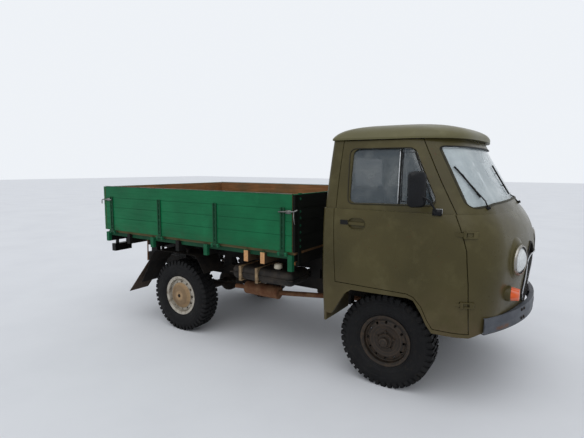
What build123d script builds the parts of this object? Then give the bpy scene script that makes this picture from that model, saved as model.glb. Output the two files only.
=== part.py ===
from build123d import *
import os
from functools import cache
from math import atan2, cos, pi, radians, sin, sqrt

# A small military cargo truck: cab over the front axle, engine between the seats, drop-side wooden bed.
# Millimetres. It is drawn with the front axle above x = 0, +X forward, +Y to the left, +Z up, ground at z = 0,
# and each piece is moved at the end so that the origin lies on the ground under the middle of its length.

# Overall sizes
WHEELBASE = 2300
TRACK = 1442
FRONT_OVERHANG = 978
REAR_OVERHANG = 1068

# Clearances
SEAT = 0.3            # between pieces that sit on each other
FIT = 0.05            # around pins and shafts that turn
SEAM = 6              # around doors and boards
MOVE = 8              # between a moving piece and what it passes

# Wheels
TYRE_R = 382
TYRE_W = 214
CARCASS_R = 371
RIM_FLANGE_R = 209
RIM_BARREL_R = 190
RIM_HALF_W = 86
BEAD_Y = 75.6
LUGS = 22
LUG_ROOT = 12           # how far a lug runs down into the carcass
# inner and outer edge across the tread, half width along it, and the turn in pitches
LUG_ROWS = ((34, 93, 17, 0), (-93, -34, 17, 0.5), (-28, 28, 15, 0.25))
HUB_BORE_R = 30
HUB_FACE = 52         # from the wheel's middle plane out to the disc
SPINDLE_R = 29

# Chassis
RAIL_BOTTOM = 590
RAIL_TOP = 700
RAIL_IN = 360
RAIL_OUT = 425
RAIL_WALL = 6
RAIL_FRONT = 818
RAIL_REAR = -3260
AXLE_TUBE_R = 42
DIFF_R = 125
SPRING_Y = 396
SPRING_W = 56
KINGPIN_Y = 592
STEER_ARM = 170
ARM_INBOARD = 32

# Cab
CAB_REAR = -500
CAB_WALL = 32
CAB_LOW = 505         # lowest tip behind the wheels
CAB_SILL = 575
NOSE_LOW = 652        # lower edge of the nose, behind the bumper
CAB_BELT = 1440
CAB_EAVES = 1980
EAVES_HALF = 788
BOW_R = 2300
REAR_CORNER_R = 45
ROOF_TOP = 2120
RAIL_LIP = 18         # how far the drip rail stands out
FLOOR_Z = 712
PLATFORM_Z = 818
FLOOR_T = 12
DOOR_LEAN = 0.17      # how far the door's edges run forward for each mm inwards
DOOR_PLANE = 950      # where the door's outline is drawn
HINGE_X = 592
HINGE_Y = 952
HINGE_FOOT = 668
PIN_R = 7
DOOR_CORNER_R = 96    # from the hinge line to the door's inner front corner, which swings inwards

# Bed
BED_FRONT = -735
BED_REAR = -3290
BED_HALF_W = 990
BOARD_T = 25
BOARD_BOTTOM = 1050
BOARD_TOP = 1540
FLOOR_TOP = 1045
PLANK_T = 25
BEARER_H = 105
BEARER_W = 45
STRAP_W = 45
STRAP_T = 10
BOARD_PIN_Z = 1034
BOARD_PIN_R = 6
PIN_OUT = 6             # how far the pins lie outside the boards' faces
BED_TOP = FLOOR_TOP - PLANK_T
EYE_LOW = BED_TOP - 8
EYE_OUT = STRAP_W / 2 + 24
EDGE_RAIL_Y = 928
BEARER_LOW = BED_TOP - BEARER_H

# Springs, steering and coupling
SPRING_HALF = 500
SPRING_EYE_Z = 520
LEAVES = 5
LEAF_T = 8
KINGPIN_R = 14
TRACK_PIN_R = 9
SPINDLE_END = 60      # how far the spindle runs past the wheel's middle plane
FRONT_DIFF_Y = 110
SHOCK_Y = 322
SHOCK_X = 78
SHOCK_LEANS = ((0, 120), (-WHEELBASE, 150))
GEAR_X = 620
PLATE_R = 140           # brake backing plates
PLATE_GAP = 2
DRUM_Y = 32             # from the wheel's middle plane in to the drum's open edge
COLUMN_FOOT = (620, 450, 700)
COLUMN_TOP = (360, 510, 1275)
WHEEL_RIM_R = 205
HITCH_Z = 645
HITCH_R = 16
JAW_L = 88
JAW_PIN = 36            # the pin stands far enough back to be lifted out past the tailboard's hinges
CROSSMEMBERS = (785, -1080, -1720, -2900, RAIL_REAR + 30)

# Cab fittings
HANDLE_X = -200
HANDLE_Z = 1332
BOWL_W = 143
BOWL_H = 86
BOWL_FLOOR_Y = 943
LOCK_X = -302
HINGES = ((1310, 27), (822, 22))
MIRROR = (281, -1035, 1612)
MIRROR_TURN = -45
MIRROR_SIZE = (40, 135, 252)
HEADLAMP_Y = 560
HEADLAMP_Z = 1106
HEADLAMP_R = 90
LAMP_X = 882
LAMP_TURN = 15         # outwards, about the vertical
LAMP_POCKET = 25       # how deep the lamp's pocket lies behind its middle
SIGNAL_X = 865
SIGNAL_Y = 642
SIGNAL_Z = 872
REAR_WALL_Y = 735
ROOF_T = 22
ENGINE_HALF_W = 170
COVER_BACK = -362
COVER_FRONT = 410
COVER_HALF = 272
COVER_TOP = 1110
SEAT_BOTTOM = 900
GASKET_W = 9
GRILLE_BARS = 18
BUMPER_LOW = 612
BUMPER_HIGH = 729
BUMPER_R = 1680
BUMPER_END_Y = 872
BUMPER_LIP = 30

# Bed fittings
BEAM_LOW = 790
BEARERS = (-791, -1077, -1261, -1757, -2140, -2518, -2900)
PEDESTALS = (-850, -1400, -1950, -2650, -3150)
SIDE_HINGES = (-857, -1617, -2379, -3155)
TAIL_HINGES = (-640, 0, 640)
PLANKS = 12
PLANK_GAP = 4
BOARD_PLANKS = (0.29, 0.24, 0.22, 0.25)   # shares of the board's height, from the bottom up
STRAP_TOP = 1425
RIM_SLOTS = 12

# Under the bed
GUARD_Z = 868
TANK_X0, TANK_X1 = -1520, -836
TANK_Y0, TANK_Y1 = 545, 875
TANK_LOW, TANK_HIGH = 700, 832
TANK_R = 48
TANK_STRAPS = (-1405, -1215)
MUFFLER_X0, MUFFLER_X1 = -1550, -1145
MUFFLER_Y, MUFFLER_Z = -600, 545

HUB_Z = TYRE_R
REAR_X = -WHEELBASE
HALF_TRACK = TRACK / 2
SHIFT_X = (WHEELBASE + REAR_OVERHANG - FRONT_OVERHANG) / 2
TAIL_X = -(WHEELBASE + REAR_OVERHANG)

NODES = {}


def add(name, *shapes):
    """Keep the solids of one node, moved to the part's own origin."""
    solids = [s for shape in shapes for s in shape.solids()]
    NODES[name] = [Pos(SHIFT_X, 0, 0) * s for s in solids]


def mirrored(shape):
    return mirror(shape, about=Plane.XZ)


def box(x0, x1, y0, y1, z0, z1):
    """A block between two corners, given in any order."""
    return Pos((x0 + x1) / 2, (y0 + y1) / 2, (z0 + z1) / 2) * Box(abs(x1 - x0), abs(y1 - y0), abs(z1 - z0))


def rod(a, b, r):
    """A round bar from point a to point b."""
    a, b = Vector(a), Vector(b)
    return extrude(Plane(origin=a, z_dir=b - a) * Circle(r), (b - a).length)


def side_prism(points, y0, y1, radius=0, lean=0.0):
    """A prism through the side view: points are (x, z), it runs from y0 to y1."""
    face = make_face(Polyline(*[(x, z) for x, z in points], close=True))
    if radius:
        face = fillet(face.vertices(), radius)
    plane = Plane(origin=(0, y0, 0), x_dir=(1, 0, 0), z_dir=(0, -1, 0))
    step = y1 - y0
    return extrude(plane * face, abs(step) * sqrt(1 + lean * lean), dir=(lean * abs(step), step, 0))


def turned_x(profile, y, z):
    """A body turned about a line along X at (y, z); the profile's edges are drawn as (radius, x)."""
    plane = Plane(origin=(0, y, z), x_dir=(0, 1, 0), z_dir=(0, 0, -1))
    return revolve(plane * make_face(profile), Axis((0, y, z), (1, 0, 0)))


# The cab's skin: a level outline at a height, made of lines and arcs
def outline(z, half_w, front_x, corner_r, rear_x, rear_r, bow_r):
    bow_x = front_x - bow_r
    corner_y = half_w - corner_r
    corner_x = bow_x + sqrt((bow_r - corner_r) ** 2 - corner_y ** 2)
    turn = atan2(corner_y, corner_x - bow_x)
    half = (turn + pi / 2) / 2
    tangent = (bow_x + bow_r * cos(turn), bow_r * sin(turn))
    middle = (corner_x + corner_r * cos(half), corner_y + corner_r * sin(half))
    side = (corner_x, half_w)
    back = (rear_x + rear_r, half_w)
    rear_mid = (rear_x + rear_r - rear_r * cos(pi / 4), half_w - rear_r + rear_r * sin(pi / 4))
    rear = (rear_x, half_w - rear_r)
    def flip(p):
        return p[0], -p[1]

    edges = [
        ThreePointArc(flip(tangent), (front_x, 0), tangent),
        ThreePointArc(tangent, middle, side),
        Line(side, back),
        ThreePointArc(back, rear_mid, rear),
        Line(rear, flip(rear)),
        ThreePointArc(flip(rear), flip(rear_mid), flip(back)),
        Line(flip(back), flip(side)),
        ThreePointArc(flip(side), flip(middle), flip(tangent)),
    ]
    return Pos(0, 0, z) * make_face(edges)


# height, half width, front x at the middle, front corner radius
CAB_LOWER = [
    (CAB_LOW, 932, 878, 330),
    (800, 958, 930, 340),
    (1120, 967, 955, 340),
    (1260, 963, 935, 355),
    (1360, 957, 893, 380),
    (CAB_BELT, 948, 835, 400),
]
CAB_UPPER = [
    (CAB_BELT, 925, 832, 400),
    (1700, 866, 675, 390),
    (CAB_EAVES, EAVES_HALF, 518, 368),
]
# height, half width, front x, front corner radius, rear x, rear corner radius, bow radius
ROOF = [
    (CAB_EAVES, EAVES_HALF + RAIL_LIP, 560, 385, CAB_REAR - 14, 60, 2300),
    (CAB_EAVES + 14, EAVES_HALF + RAIL_LIP, 560, 385, CAB_REAR - 14, 60, 2300),
    (2030, 780, 550, 370, CAB_REAR + 8, 80, 2100),
    (2066, 728, 492, 345, CAB_REAR + 56, 110, 1900),
    (2094, 630, 395, 300, CAB_REAR + 140, 140, 1600),
    (2110, 470, 270, 220, CAB_REAR + 250, 160, 1300),
    (ROOF_TOP, 210, 130, 100, CAB_REAR + 370, 90, 900),
]


@cache
def cab_skin(inset, grow_ends=0):
    """The cab's whole form, with its walls moved in by inset."""
    lofts = []
    for table in (CAB_LOWER, CAB_UPPER):
        faces = []
        for i, (z, half_w, front_x, corner_r) in enumerate(table):
            end = (i == 0 and table is CAB_LOWER) * -grow_ends + (z == CAB_EAVES) * grow_ends
            rear_r = REAR_CORNER_R - inset if inset < REAR_CORNER_R - 5 else 5
            faces.append(outline(z + end, half_w - inset, front_x - inset, corner_r - inset,
                                 CAB_REAR + inset, rear_r, BOW_R - inset))
        lofts.append(loft(faces))
    return lofts[0] + lofts[1]


# The door's outline on the cab's surface, x and z, and how far inside the drawing plane that surface lies
DOOR_EDGE = [
    (-391.5, 1972, 153), (-367, 856, 0), (212, 846, 0), (262, 828, 0), (318, 765, 0), (360, 668, 0), (396, 609, 0),
    (630, 609, 20), (622, 969, 0), (604, 1197, 0), (580, 1276, 0), (550, 1355, 0), (513, 1433, 12), (386, 1669, 90),
    (229.6, 1972, 155),
]
DOOR_WINDOW = [(-300, 1905, 138), (-285, 1488, 24), (398, 1500, 28), (192, 1905, 138)]
VENT_BAR = [(115.4, 1400), (80.6, 1950)]   # the middle of its lower and upper ends, x and z
VENT_BAR_W = 18
ARCH = [
    (-540, 440), (-468, 505), (-400, 594), (-290, 768), (-235, 805), (215, 812), (258, 800), (312, 715), (352, 630),
    (392, 575), (470, 440),
]
WINDSCREEN = [(-840, 1474), (-560, 1500), (0, 1512), (560, 1500), (840, 1474), (742, 1925), (-742, 1925)]
SCREEN_R = 45
REAR_WINDOW = [(-390, 1560), (390, 1560), (390, 1860), (-390, 1860)]
GRILLE_HALF = [(70, 1100), (135, 1180), (225, 1207), (335, 1120), (330, 1000), (345, 800), (290, 735)]
GRILLE_OPENING = GRILLE_HALF + [(-y, z) for y, z in reversed(GRILLE_HALF)]
GRILLE_R = 20
GRILLE_TOP = 1092       # the bars end here, a blind recess lies above them


def door_prism(grow=0.0):
    """The prism that cuts the right door out of the skin, or with grow, its opening."""
    face = make_face(Polyline(*[(x - DOOR_LEAN * deep, z) for x, z, deep in DOOR_EDGE], close=True))
    if grow:
        face = offset(face, grow, kind=Kind.INTERSECTION)
    plane = Plane(origin=(0, -DOOR_PLANE - 40, 0), x_dir=(1, 0, 0), z_dir=(0, -1, 0))
    deep = 420
    start = Pos(-DOOR_LEAN * 40, 0, 0) * (plane * face)
    return extrude(start, deep * sqrt(1 + DOOR_LEAN ** 2), dir=(DOOR_LEAN * deep, deep, 0))


def window_prism(grow=0.0, radius=45):
    points = [(x - DOOR_LEAN * deep, z) for x, z, deep in DOOR_WINDOW]
    face = fillet(make_face(Polyline(*points, close=True)).vertices(), radius)
    if grow:
        face = offset(face, grow)
    plane = Plane(origin=(0, -DOOR_PLANE - 40, 0), x_dir=(1, 0, 0), z_dir=(0, -1, 0))
    start = Pos(-DOOR_LEAN * 40, 0, 0) * (plane * face)
    deep = 420
    return extrude(start, deep * sqrt(1 + DOOR_LEAN ** 2), dir=(DOOR_LEAN * deep, deep, 0))


def front_opening(points, radius, grow=0.0, x0=250, x1=1100):
    face = fillet(make_face(Polyline(*points, close=True)).vertices(), radius)
    if grow:
        face = offset(face, grow)
    return extrude(Plane(origin=(x0, 0, 0), x_dir=(0, 1, 0), z_dir=(1, 0, 0)) * face, x1 - x0)


def make_door(outer, inner, shell):
    """The right door with its hinges and handle, its panes, and its mirror; the left one is its mirror image."""
    door = (shell & door_prism()) - window_prism()
    for z, half in HINGES:
        leaf = box(HINGE_X - 64, HINGE_X, -HINGE_Y - 4, -HINGE_Y + 40, z - half * 0.5, z + half * 0.5)
        knuckle = Pos(HINGE_X, -HINGE_Y, z) * Cylinder(PIN_R + 4, half)
        door += (leaf - outer) + knuckle
        door -= Pos(HINGE_X, -HINGE_Y, z) * Cylinder(PIN_R + FIT, 2 * half)
        for s in (-1, 1):
            door -= Pos(HINGE_X, -HINGE_Y, z + s * (half / 2 + 5 + SEAT)) * Cylinder(PIN_R + 9, 10 + 2 * SEAT)
    # An oval bowl for the hand with a flat pull across it, and the lock's barrel behind it
    bowl = Plane(origin=(HANDLE_X, -1000, HANDLE_Z), x_dir=(1, 0, 0), z_dir=(0, 1, 0)) * SlotOverall(BOWL_W, BOWL_H)
    door -= extrude(bowl, 1000 - BOWL_FLOOR_Y)
    pull = box(HANDLE_X - BOWL_W / 2 + 5, HANDLE_X + BOWL_W / 2 - 5, -BOWL_FLOOR_Y - 15, -BOWL_FLOOR_Y - 8,
               HANDLE_Z - 11, HANDLE_Z + 11)
    for s in (-1, 1):
        x = HANDLE_X + s * (BOWL_W / 2 - 13)
        pull += box(x - 8, x + 8, -BOWL_FLOOR_Y - 10, -BOWL_FLOOR_Y + 6, HANDLE_Z - 11, HANDLE_Z + 11)
    door += pull + rod((LOCK_X, -BOWL_FLOOR_Y - 19, HANDLE_Z + 6), (LOCK_X, -BOWL_FLOOR_Y, HANDLE_Z + 6), 11)
    bar, bar_gap = [side_prism([(x + side * half, z)
                                for (x, z), side in zip(VENT_BAR + VENT_BAR[::-1], (1, 1, -1, -1))],
                               -DOOR_PLANE - 20, -DOOR_PLANE + 350)
                    for half in (VENT_BAR_W / 2, VENT_BAR_W / 2 + SEAT)]
    hole = window_prism(-SEAT, 45 - SEAT)
    panes = ((cab_skin(13) - cab_skin(19)) & hole) - bar_gap
    post = (cab_skin(8) - cab_skin(24)) & hole & bar
    mirror_head = Pos(*MIRROR) * Rot(0, 0, MIRROR_TURN) * fillet(Box(*MIRROR_SIZE).edges(), 14)
    foot = box(370, 432, -962, -945, 1432, 1476) - outer
    elbow = (MIRROR[0] + 75, MIRROR[1] + 20, MIRROR[2] - 75)
    arm = rod((400, -955, 1452), elbow, 7) + rod(elbow, (MIRROR[0], MIRROR[1], MIRROR[2] - 30), 7)
    arm += Pos(*elbow) * Sphere(9)
    glass_mirror = mirror_head + (arm - foot) + foot
    for side, flip in (("right", lambda s: s), ("left", mirrored)):
        add("door_" + side, flip(door))
        add("door_glass_" + side, flip(panes), flip(post))
        add("mirror_" + side, flip(glass_mirror))


def make_cab():
    outer = cab_skin(0)
    inner = cab_skin(CAB_WALL, 12)
    shell = outer - inner
    make_door(outer, inner, shell)

    doorway = door_prism(SEAM)
    shell -= doorway
    shell -= mirrored(doorway)
    shell -= box(-460, 1000, -1100, 1100, 400, CAB_SILL)
    arch = side_prism(ARCH, -1100, 1100)
    shell -= arch
    shell -= side_prism([(640, 400), (640, CAB_SILL), (800, NOSE_LOW), (1100, NOSE_LOW), (1100, 400)], -1100, 1100)

    # The front panel ends where the doors' front edges run
    front_line = [(x, z) for x, z, deep in DOOR_EDGE[7:]]
    front_line = [(630 + SEAM, 400)] + [(x + SEAM, z) for x, z in front_line[:-1]] \
        + [(DOOR_EDGE[-1][0] + SEAM, 2000)]
    front_zone = side_prism(front_line + [(1100, 2000), (1100, 400)], -1100, 1100)
    windscreen_hole = front_opening(WINDSCREEN, SCREEN_R)
    grille_hole = front_opening(GRILLE_OPENING, GRILLE_R, x0=700)
    front = (shell & front_zone) - windscreen_hole - grille_hole
    lamps = []
    for side in (-1, 1):
        place = Pos(LAMP_X, side * HEADLAMP_Y, HEADLAMP_Z) * Rot(0, 0, side * LAMP_TURN)
        front += place * cone_x(HEADLAMP_R + 75, HEADLAMP_R + 22, -20, 22, 0, 0) - inner
        front -= place * cone_x(HEADLAMP_R + 12, HEADLAMP_R + 12, -LAMP_POCKET, 60, 0, 0)
        back, rim_x, nose, flat = SEAT - LAMP_POCKET, 24, 52, 30
        lamps.append(place * turned_x([
            Line((0, back), (HEADLAMP_R + 11, back)), Line((HEADLAMP_R + 11, back), (HEADLAMP_R + 5, rim_x)),
            Line((HEADLAMP_R + 5, rim_x), (HEADLAMP_R, rim_x)),
            ThreePointArc((HEADLAMP_R, rim_x), (HEADLAMP_R * 0.72, nose - 10), (flat, nose)),
            Line((flat, nose), (0, nose)), Line((0, nose), (0, back)),
        ], 0, 0))
    # A notch behind each hinge, where the door's leaf swings in
    for z, half in HINGES:
        notch = box(HINGE_X - 40, HINGE_X + PIN_R + 5, -HINGE_Y - 40, -HINGE_Y + 30,
                    z - half / 2 - 2, z + half / 2 + 2)
        front -= notch
        front -= mirrored(notch)
    straps = None
    for z, half in HINGES:
        for s in (-1, 1):
            z0, z1 = z + s * (half / 2 + SEAT), z + s * (half / 2 + 10)
            strap = (cab_skin(-9) - cab_skin(-3)) & box(HINGE_X, HINGE_FOOT, -1000, -800, z0, z1)
            strap += Pos(HINGE_X, -HINGE_Y, (z0 + z1) / 2) * Cylinder(PIN_R + 4, abs(z1 - z0))
            straps = strap if straps is None else straps + strap
        straps += (cab_skin(-9) - outer) \
            & box(HINGE_FOOT - 26, HINGE_FOOT, -1000, -800, z - half / 2 - 10, z + half / 2 + 10)
        straps += Pos(HINGE_X, -HINGE_Y, z) * Cylinder(PIN_R, half + 20)
    front += straps
    front += mirrored(straps)
    add("cab_front_panel", *front.solids())
    add("headlamps", *lamps)

    signals = []
    for y in (-SIGNAL_Y, SIGNAL_Y):
        base = cone_x(54, 54, 800, SIGNAL_X, y, SIGNAL_Z)
        lens = cone_x(49, 42, SIGNAL_X, SIGNAL_X + 53, y, SIGNAL_Z)
        signals.append((base - outer) + lens)
    add("turn_signals", *signals)

    rear_zone = box(CAB_REAR - 60, CAB_REAR + CAB_WALL + 30, -REAR_WALL_Y, REAR_WALL_Y, 400, 2000)
    rear_hole = fillet(make_face(Polyline(*REAR_WINDOW, close=True)).vertices(), 50)
    rear_plane = Plane(origin=(CAB_REAR - 50, 0, 0), x_dir=(0, 1, 0), z_dir=(1, 0, 0))
    rear = (shell & rear_zone) - extrude(rear_plane * rear_hole, 150)
    rear -= box(-700, 0, -RAIL_OUT - 60, RAIL_OUT + 60, 400, FLOOR_Z)
    add("cab_rear_wall", rear)
    sides = shell - front_zone - rear_zone
    right = [s for s in sides.solids() if s.center().Y < 0 and s.volume > 20000]
    add("cab_side_right", *right)
    add("cab_side_left", *[mirrored(s) for s in right])

    # Windows
    slab = cab_skin(12) - cab_skin(18)
    rim = cab_skin(-4) - cab_skin(24)
    screen = (slab & front_opening(WINDSCREEN, SCREEN_R - GASKET_W - SEAT, -GASKET_W - SEAT)).solids()
    seal = rim & (front_opening(WINDSCREEN, SCREEN_R - SEAT, -SEAT)
                  - front_opening(WINDSCREEN, SCREEN_R - GASKET_W, -GASKET_W))
    back_pane = extrude(rear_plane * offset(rear_hole, -GASKET_W - SEAT), 150) & slab
    back_seal = (extrude(rear_plane * offset(rear_hole, -SEAT), 150)
                 - extrude(rear_plane * offset(rear_hole, -GASKET_W), 150)) & rim
    add("cab_glass", *screen, back_pane)
    add("window_gaskets", seal, back_seal)

    # Roof: a drip rail and a crowned dome, hollow
    roof = extrude(outline(*ROOF[0]), 14) + loft([outline(*row) for row in ROOF[1:]])
    under = []
    for z, half_w, front_x, corner_r, rear_x, rear_r, bow_r in ROOF[1:]:
        under.append(outline(z - ROOF_T, half_w - ROOF_T - 18, front_x - ROOF_T - 18, corner_r - 30,
                             rear_x + ROOF_T + 18, rear_r - 20, bow_r))
    roof -= loft(under)
    add("cab_roof", roof)

    # Floor: footwells in front of the wheels, a platform for the seats above them, open over the engine
    plates = box(430, 900, -1000, 1000, FLOOR_Z, FLOOR_Z + FLOOR_T)
    plates += box(430, 430 + FLOOR_T, -1000, 1000, FLOOR_Z, PLATFORM_Z + FLOOR_T)
    plates += box(CAB_REAR, 430 + FLOOR_T, -1000, 1000, PLATFORM_Z, PLATFORM_Z + FLOOR_T)
    plates -= box(COVER_BACK + 10, 950, -COVER_HALF + 10, COVER_HALF - 10, 600, 1200)
    deep = cab_skin(CAB_WALL + SEAT)
    clear = cab_skin(CAB_WALL + MOVE)
    floor = (plates & deep & box(-600, 230, -1100, 1100, 400, 2000)) + (plates & clear)
    add("cab_mounts", *[Pos(x, s * (RAIL_IN + RAIL_OUT) / 2, (RAIL_TOP + top) / 2)
                        * Cylinder(30, top - RAIL_TOP - 2 * SEAT)
                        for x, top in ((-420, PLATFORM_Z), (560, FLOOR_Z), (760, FLOOR_Z)) for s in (-1, 1)])
    floor -= rod(COLUMN_FOOT, COLUMN_TOP, 26)
    for y in (-HINGE_Y, HINGE_Y):
        floor -= Pos(HINGE_X, y, FLOOR_Z) * Cylinder(DOOR_CORNER_R + MOVE, 4 * FLOOR_T)
    add("cab_floor", floor)

    # Engine cover: a high box between the seats and a low one between the footwells
    cover = None
    for x0, x1, low, high in ((COVER_BACK, COVER_FRONT, PLATFORM_Z, COVER_TOP),
                              (COVER_FRONT - 16, 866, FLOOR_Z, 985)):
        z0 = low + FLOOR_T + SEAT
        hood = box(x0, x1, -COVER_HALF, COVER_HALF, z0, high)
        hood = fillet(hood.edges().filter_by(Axis.X).group_by(Axis.Z)[-1], 50)
        cover = hood if cover is None else cover + hood
    cover -= box(COVER_BACK + 14, COVER_FRONT - 14, -COVER_HALF + 14, COVER_HALF - 14, 600, COVER_TOP - 14)
    cover -= box(COVER_FRONT - 20, 870, -COVER_HALF + 14, COVER_HALF - 14, 600, 985 - 14)
    cover -= box(COVER_FRONT - 16, 430 + FLOOR_T + SEAT, -500, 500, 600, PLATFORM_Z + FLOOR_T + SEAT)
    add("engine_cover", cover)

    # Dashboard under the windscreen
    dash = side_prism([(560, 1330), (640, 1410), (800, 1430), (800, 1400), (660, 1370), (640, 1200), (600, 1190)],
                      -900, 900)
    add("dashboard", (dash & deep) - door_swing())

    # Seats: a cushion on the platform and a back on the rear wall's side
    frames = []
    for name, y0, y1 in (("seat_right", -780, -COVER_HALF - 28), ("seat_left", COVER_HALF + 28, 780)):
        cushion = box(-330, 130, y0, y1, SEAT_BOTTOM, SEAT_BOTTOM + 130)
        back = side_prism([(-425, SEAT_BOTTOM + 150), (-340, SEAT_BOTTOM + 150), (-375, SEAT_BOTTOM + 620),
                           (-450, SEAT_BOTTOM + 620)], y0 + 10, y1 - 10)
        frame = box(-320, 120, y0 + 20, y1 - 20, PLATFORM_Z + FLOOR_T + SEAT, SEAT_BOTTOM - SEAT)
        frame -= box(-290, 90, y0, y1, 0, SEAT_BOTTOM - 30)
        frame -= box(-400, 200, y0 + 60, y1 - 60, 0, SEAT_BOTTOM - 30)
        uprights = [rod((-330, y, SEAT_BOTTOM - 20), (-452, y, SEAT_BOTTOM + 560), 11)
                    for y in (y0 + 60, y1 - 60)]
        add(name, cushion, back - uprights[0] - uprights[1])
        frames.append(frame + uprights[0] + uprights[1] - cushion)
    add("seat_frames", *frames)

    # Grille: a frame with upright bars, and the radiator behind it
    ring_in = front_opening(GRILLE_OPENING, 10, -14, x0=700)
    surround = (cab_skin(-6) - cab_skin(28)) \
        & (front_opening(GRILLE_OPENING, GRILLE_R - SEAT, -SEAT, x0=700) - ring_in)
    bar_depth = (cab_skin(4) - cab_skin(18)) & front_opening(GRILLE_OPENING, 10, -13, x0=700)
    bars = []
    pitch = 2 * 330 / GRILLE_BARS
    for i in range(GRILLE_BARS):
        y = (i - (GRILLE_BARS - 1) / 2) * pitch
        bars.append(bar_depth & box(700, 1000, y - pitch * 0.27, y + pitch * 0.27, 700, GRILLE_TOP))
    cross = bar_depth & (box(700, 1000, -400, 400, 890, 910)
                         + box(700, 1000, -400, 400, GRILLE_TOP - 8, GRILLE_TOP + 4))
    blind = (cab_skin(18) - cab_skin(28)) & front_opening(GRILLE_OPENING, 10, -13, x0=700) \
        & box(700, 1000, -400, 400, GRILLE_TOP - 8, 1300)
    cross += blind
    grille = surround + cross
    for bar in bars:
        grille += bar
    add("grille", grille)
    add("radiator", box(765, 815, -COVER_HALF + 20, COVER_HALF - 20, RAIL_TOP - RAIL_WALL, 960))


def door_swing():
    """The space that the door's front edge may use, left free by the dashboard."""
    return box(300, 660, -1000, -868, 1000, 1500) + box(300, 660, 868, 1000, 1000, 1500)


def cone_x(r_rear, r_front, x0, x1, y, z):
    plane = Plane(origin=(x0, y, z), x_dir=(0, 1, 0), z_dir=(1, 0, 0))
    if r_rear == r_front:
        return extrude(plane * Circle(r_rear), x1 - x0)
    return loft([plane * Circle(r_rear), plane.offset(x1 - x0) * Circle(r_front)])


def channel(x0, x1, y_web, y_open, z0, z1, wall):
    """A rail with a C section: the web at y_web, open towards y_open."""
    step = 1 if y_open > y_web else -1
    web = box(x0, x1, y_web, y_web + step * wall, z0, z1)
    low = box(x0, x1, y_web, y_open, z0, z0 + wall)
    high = box(x0, x1, y_web, y_open, z1 - wall, z1)
    return web + low + high


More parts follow.
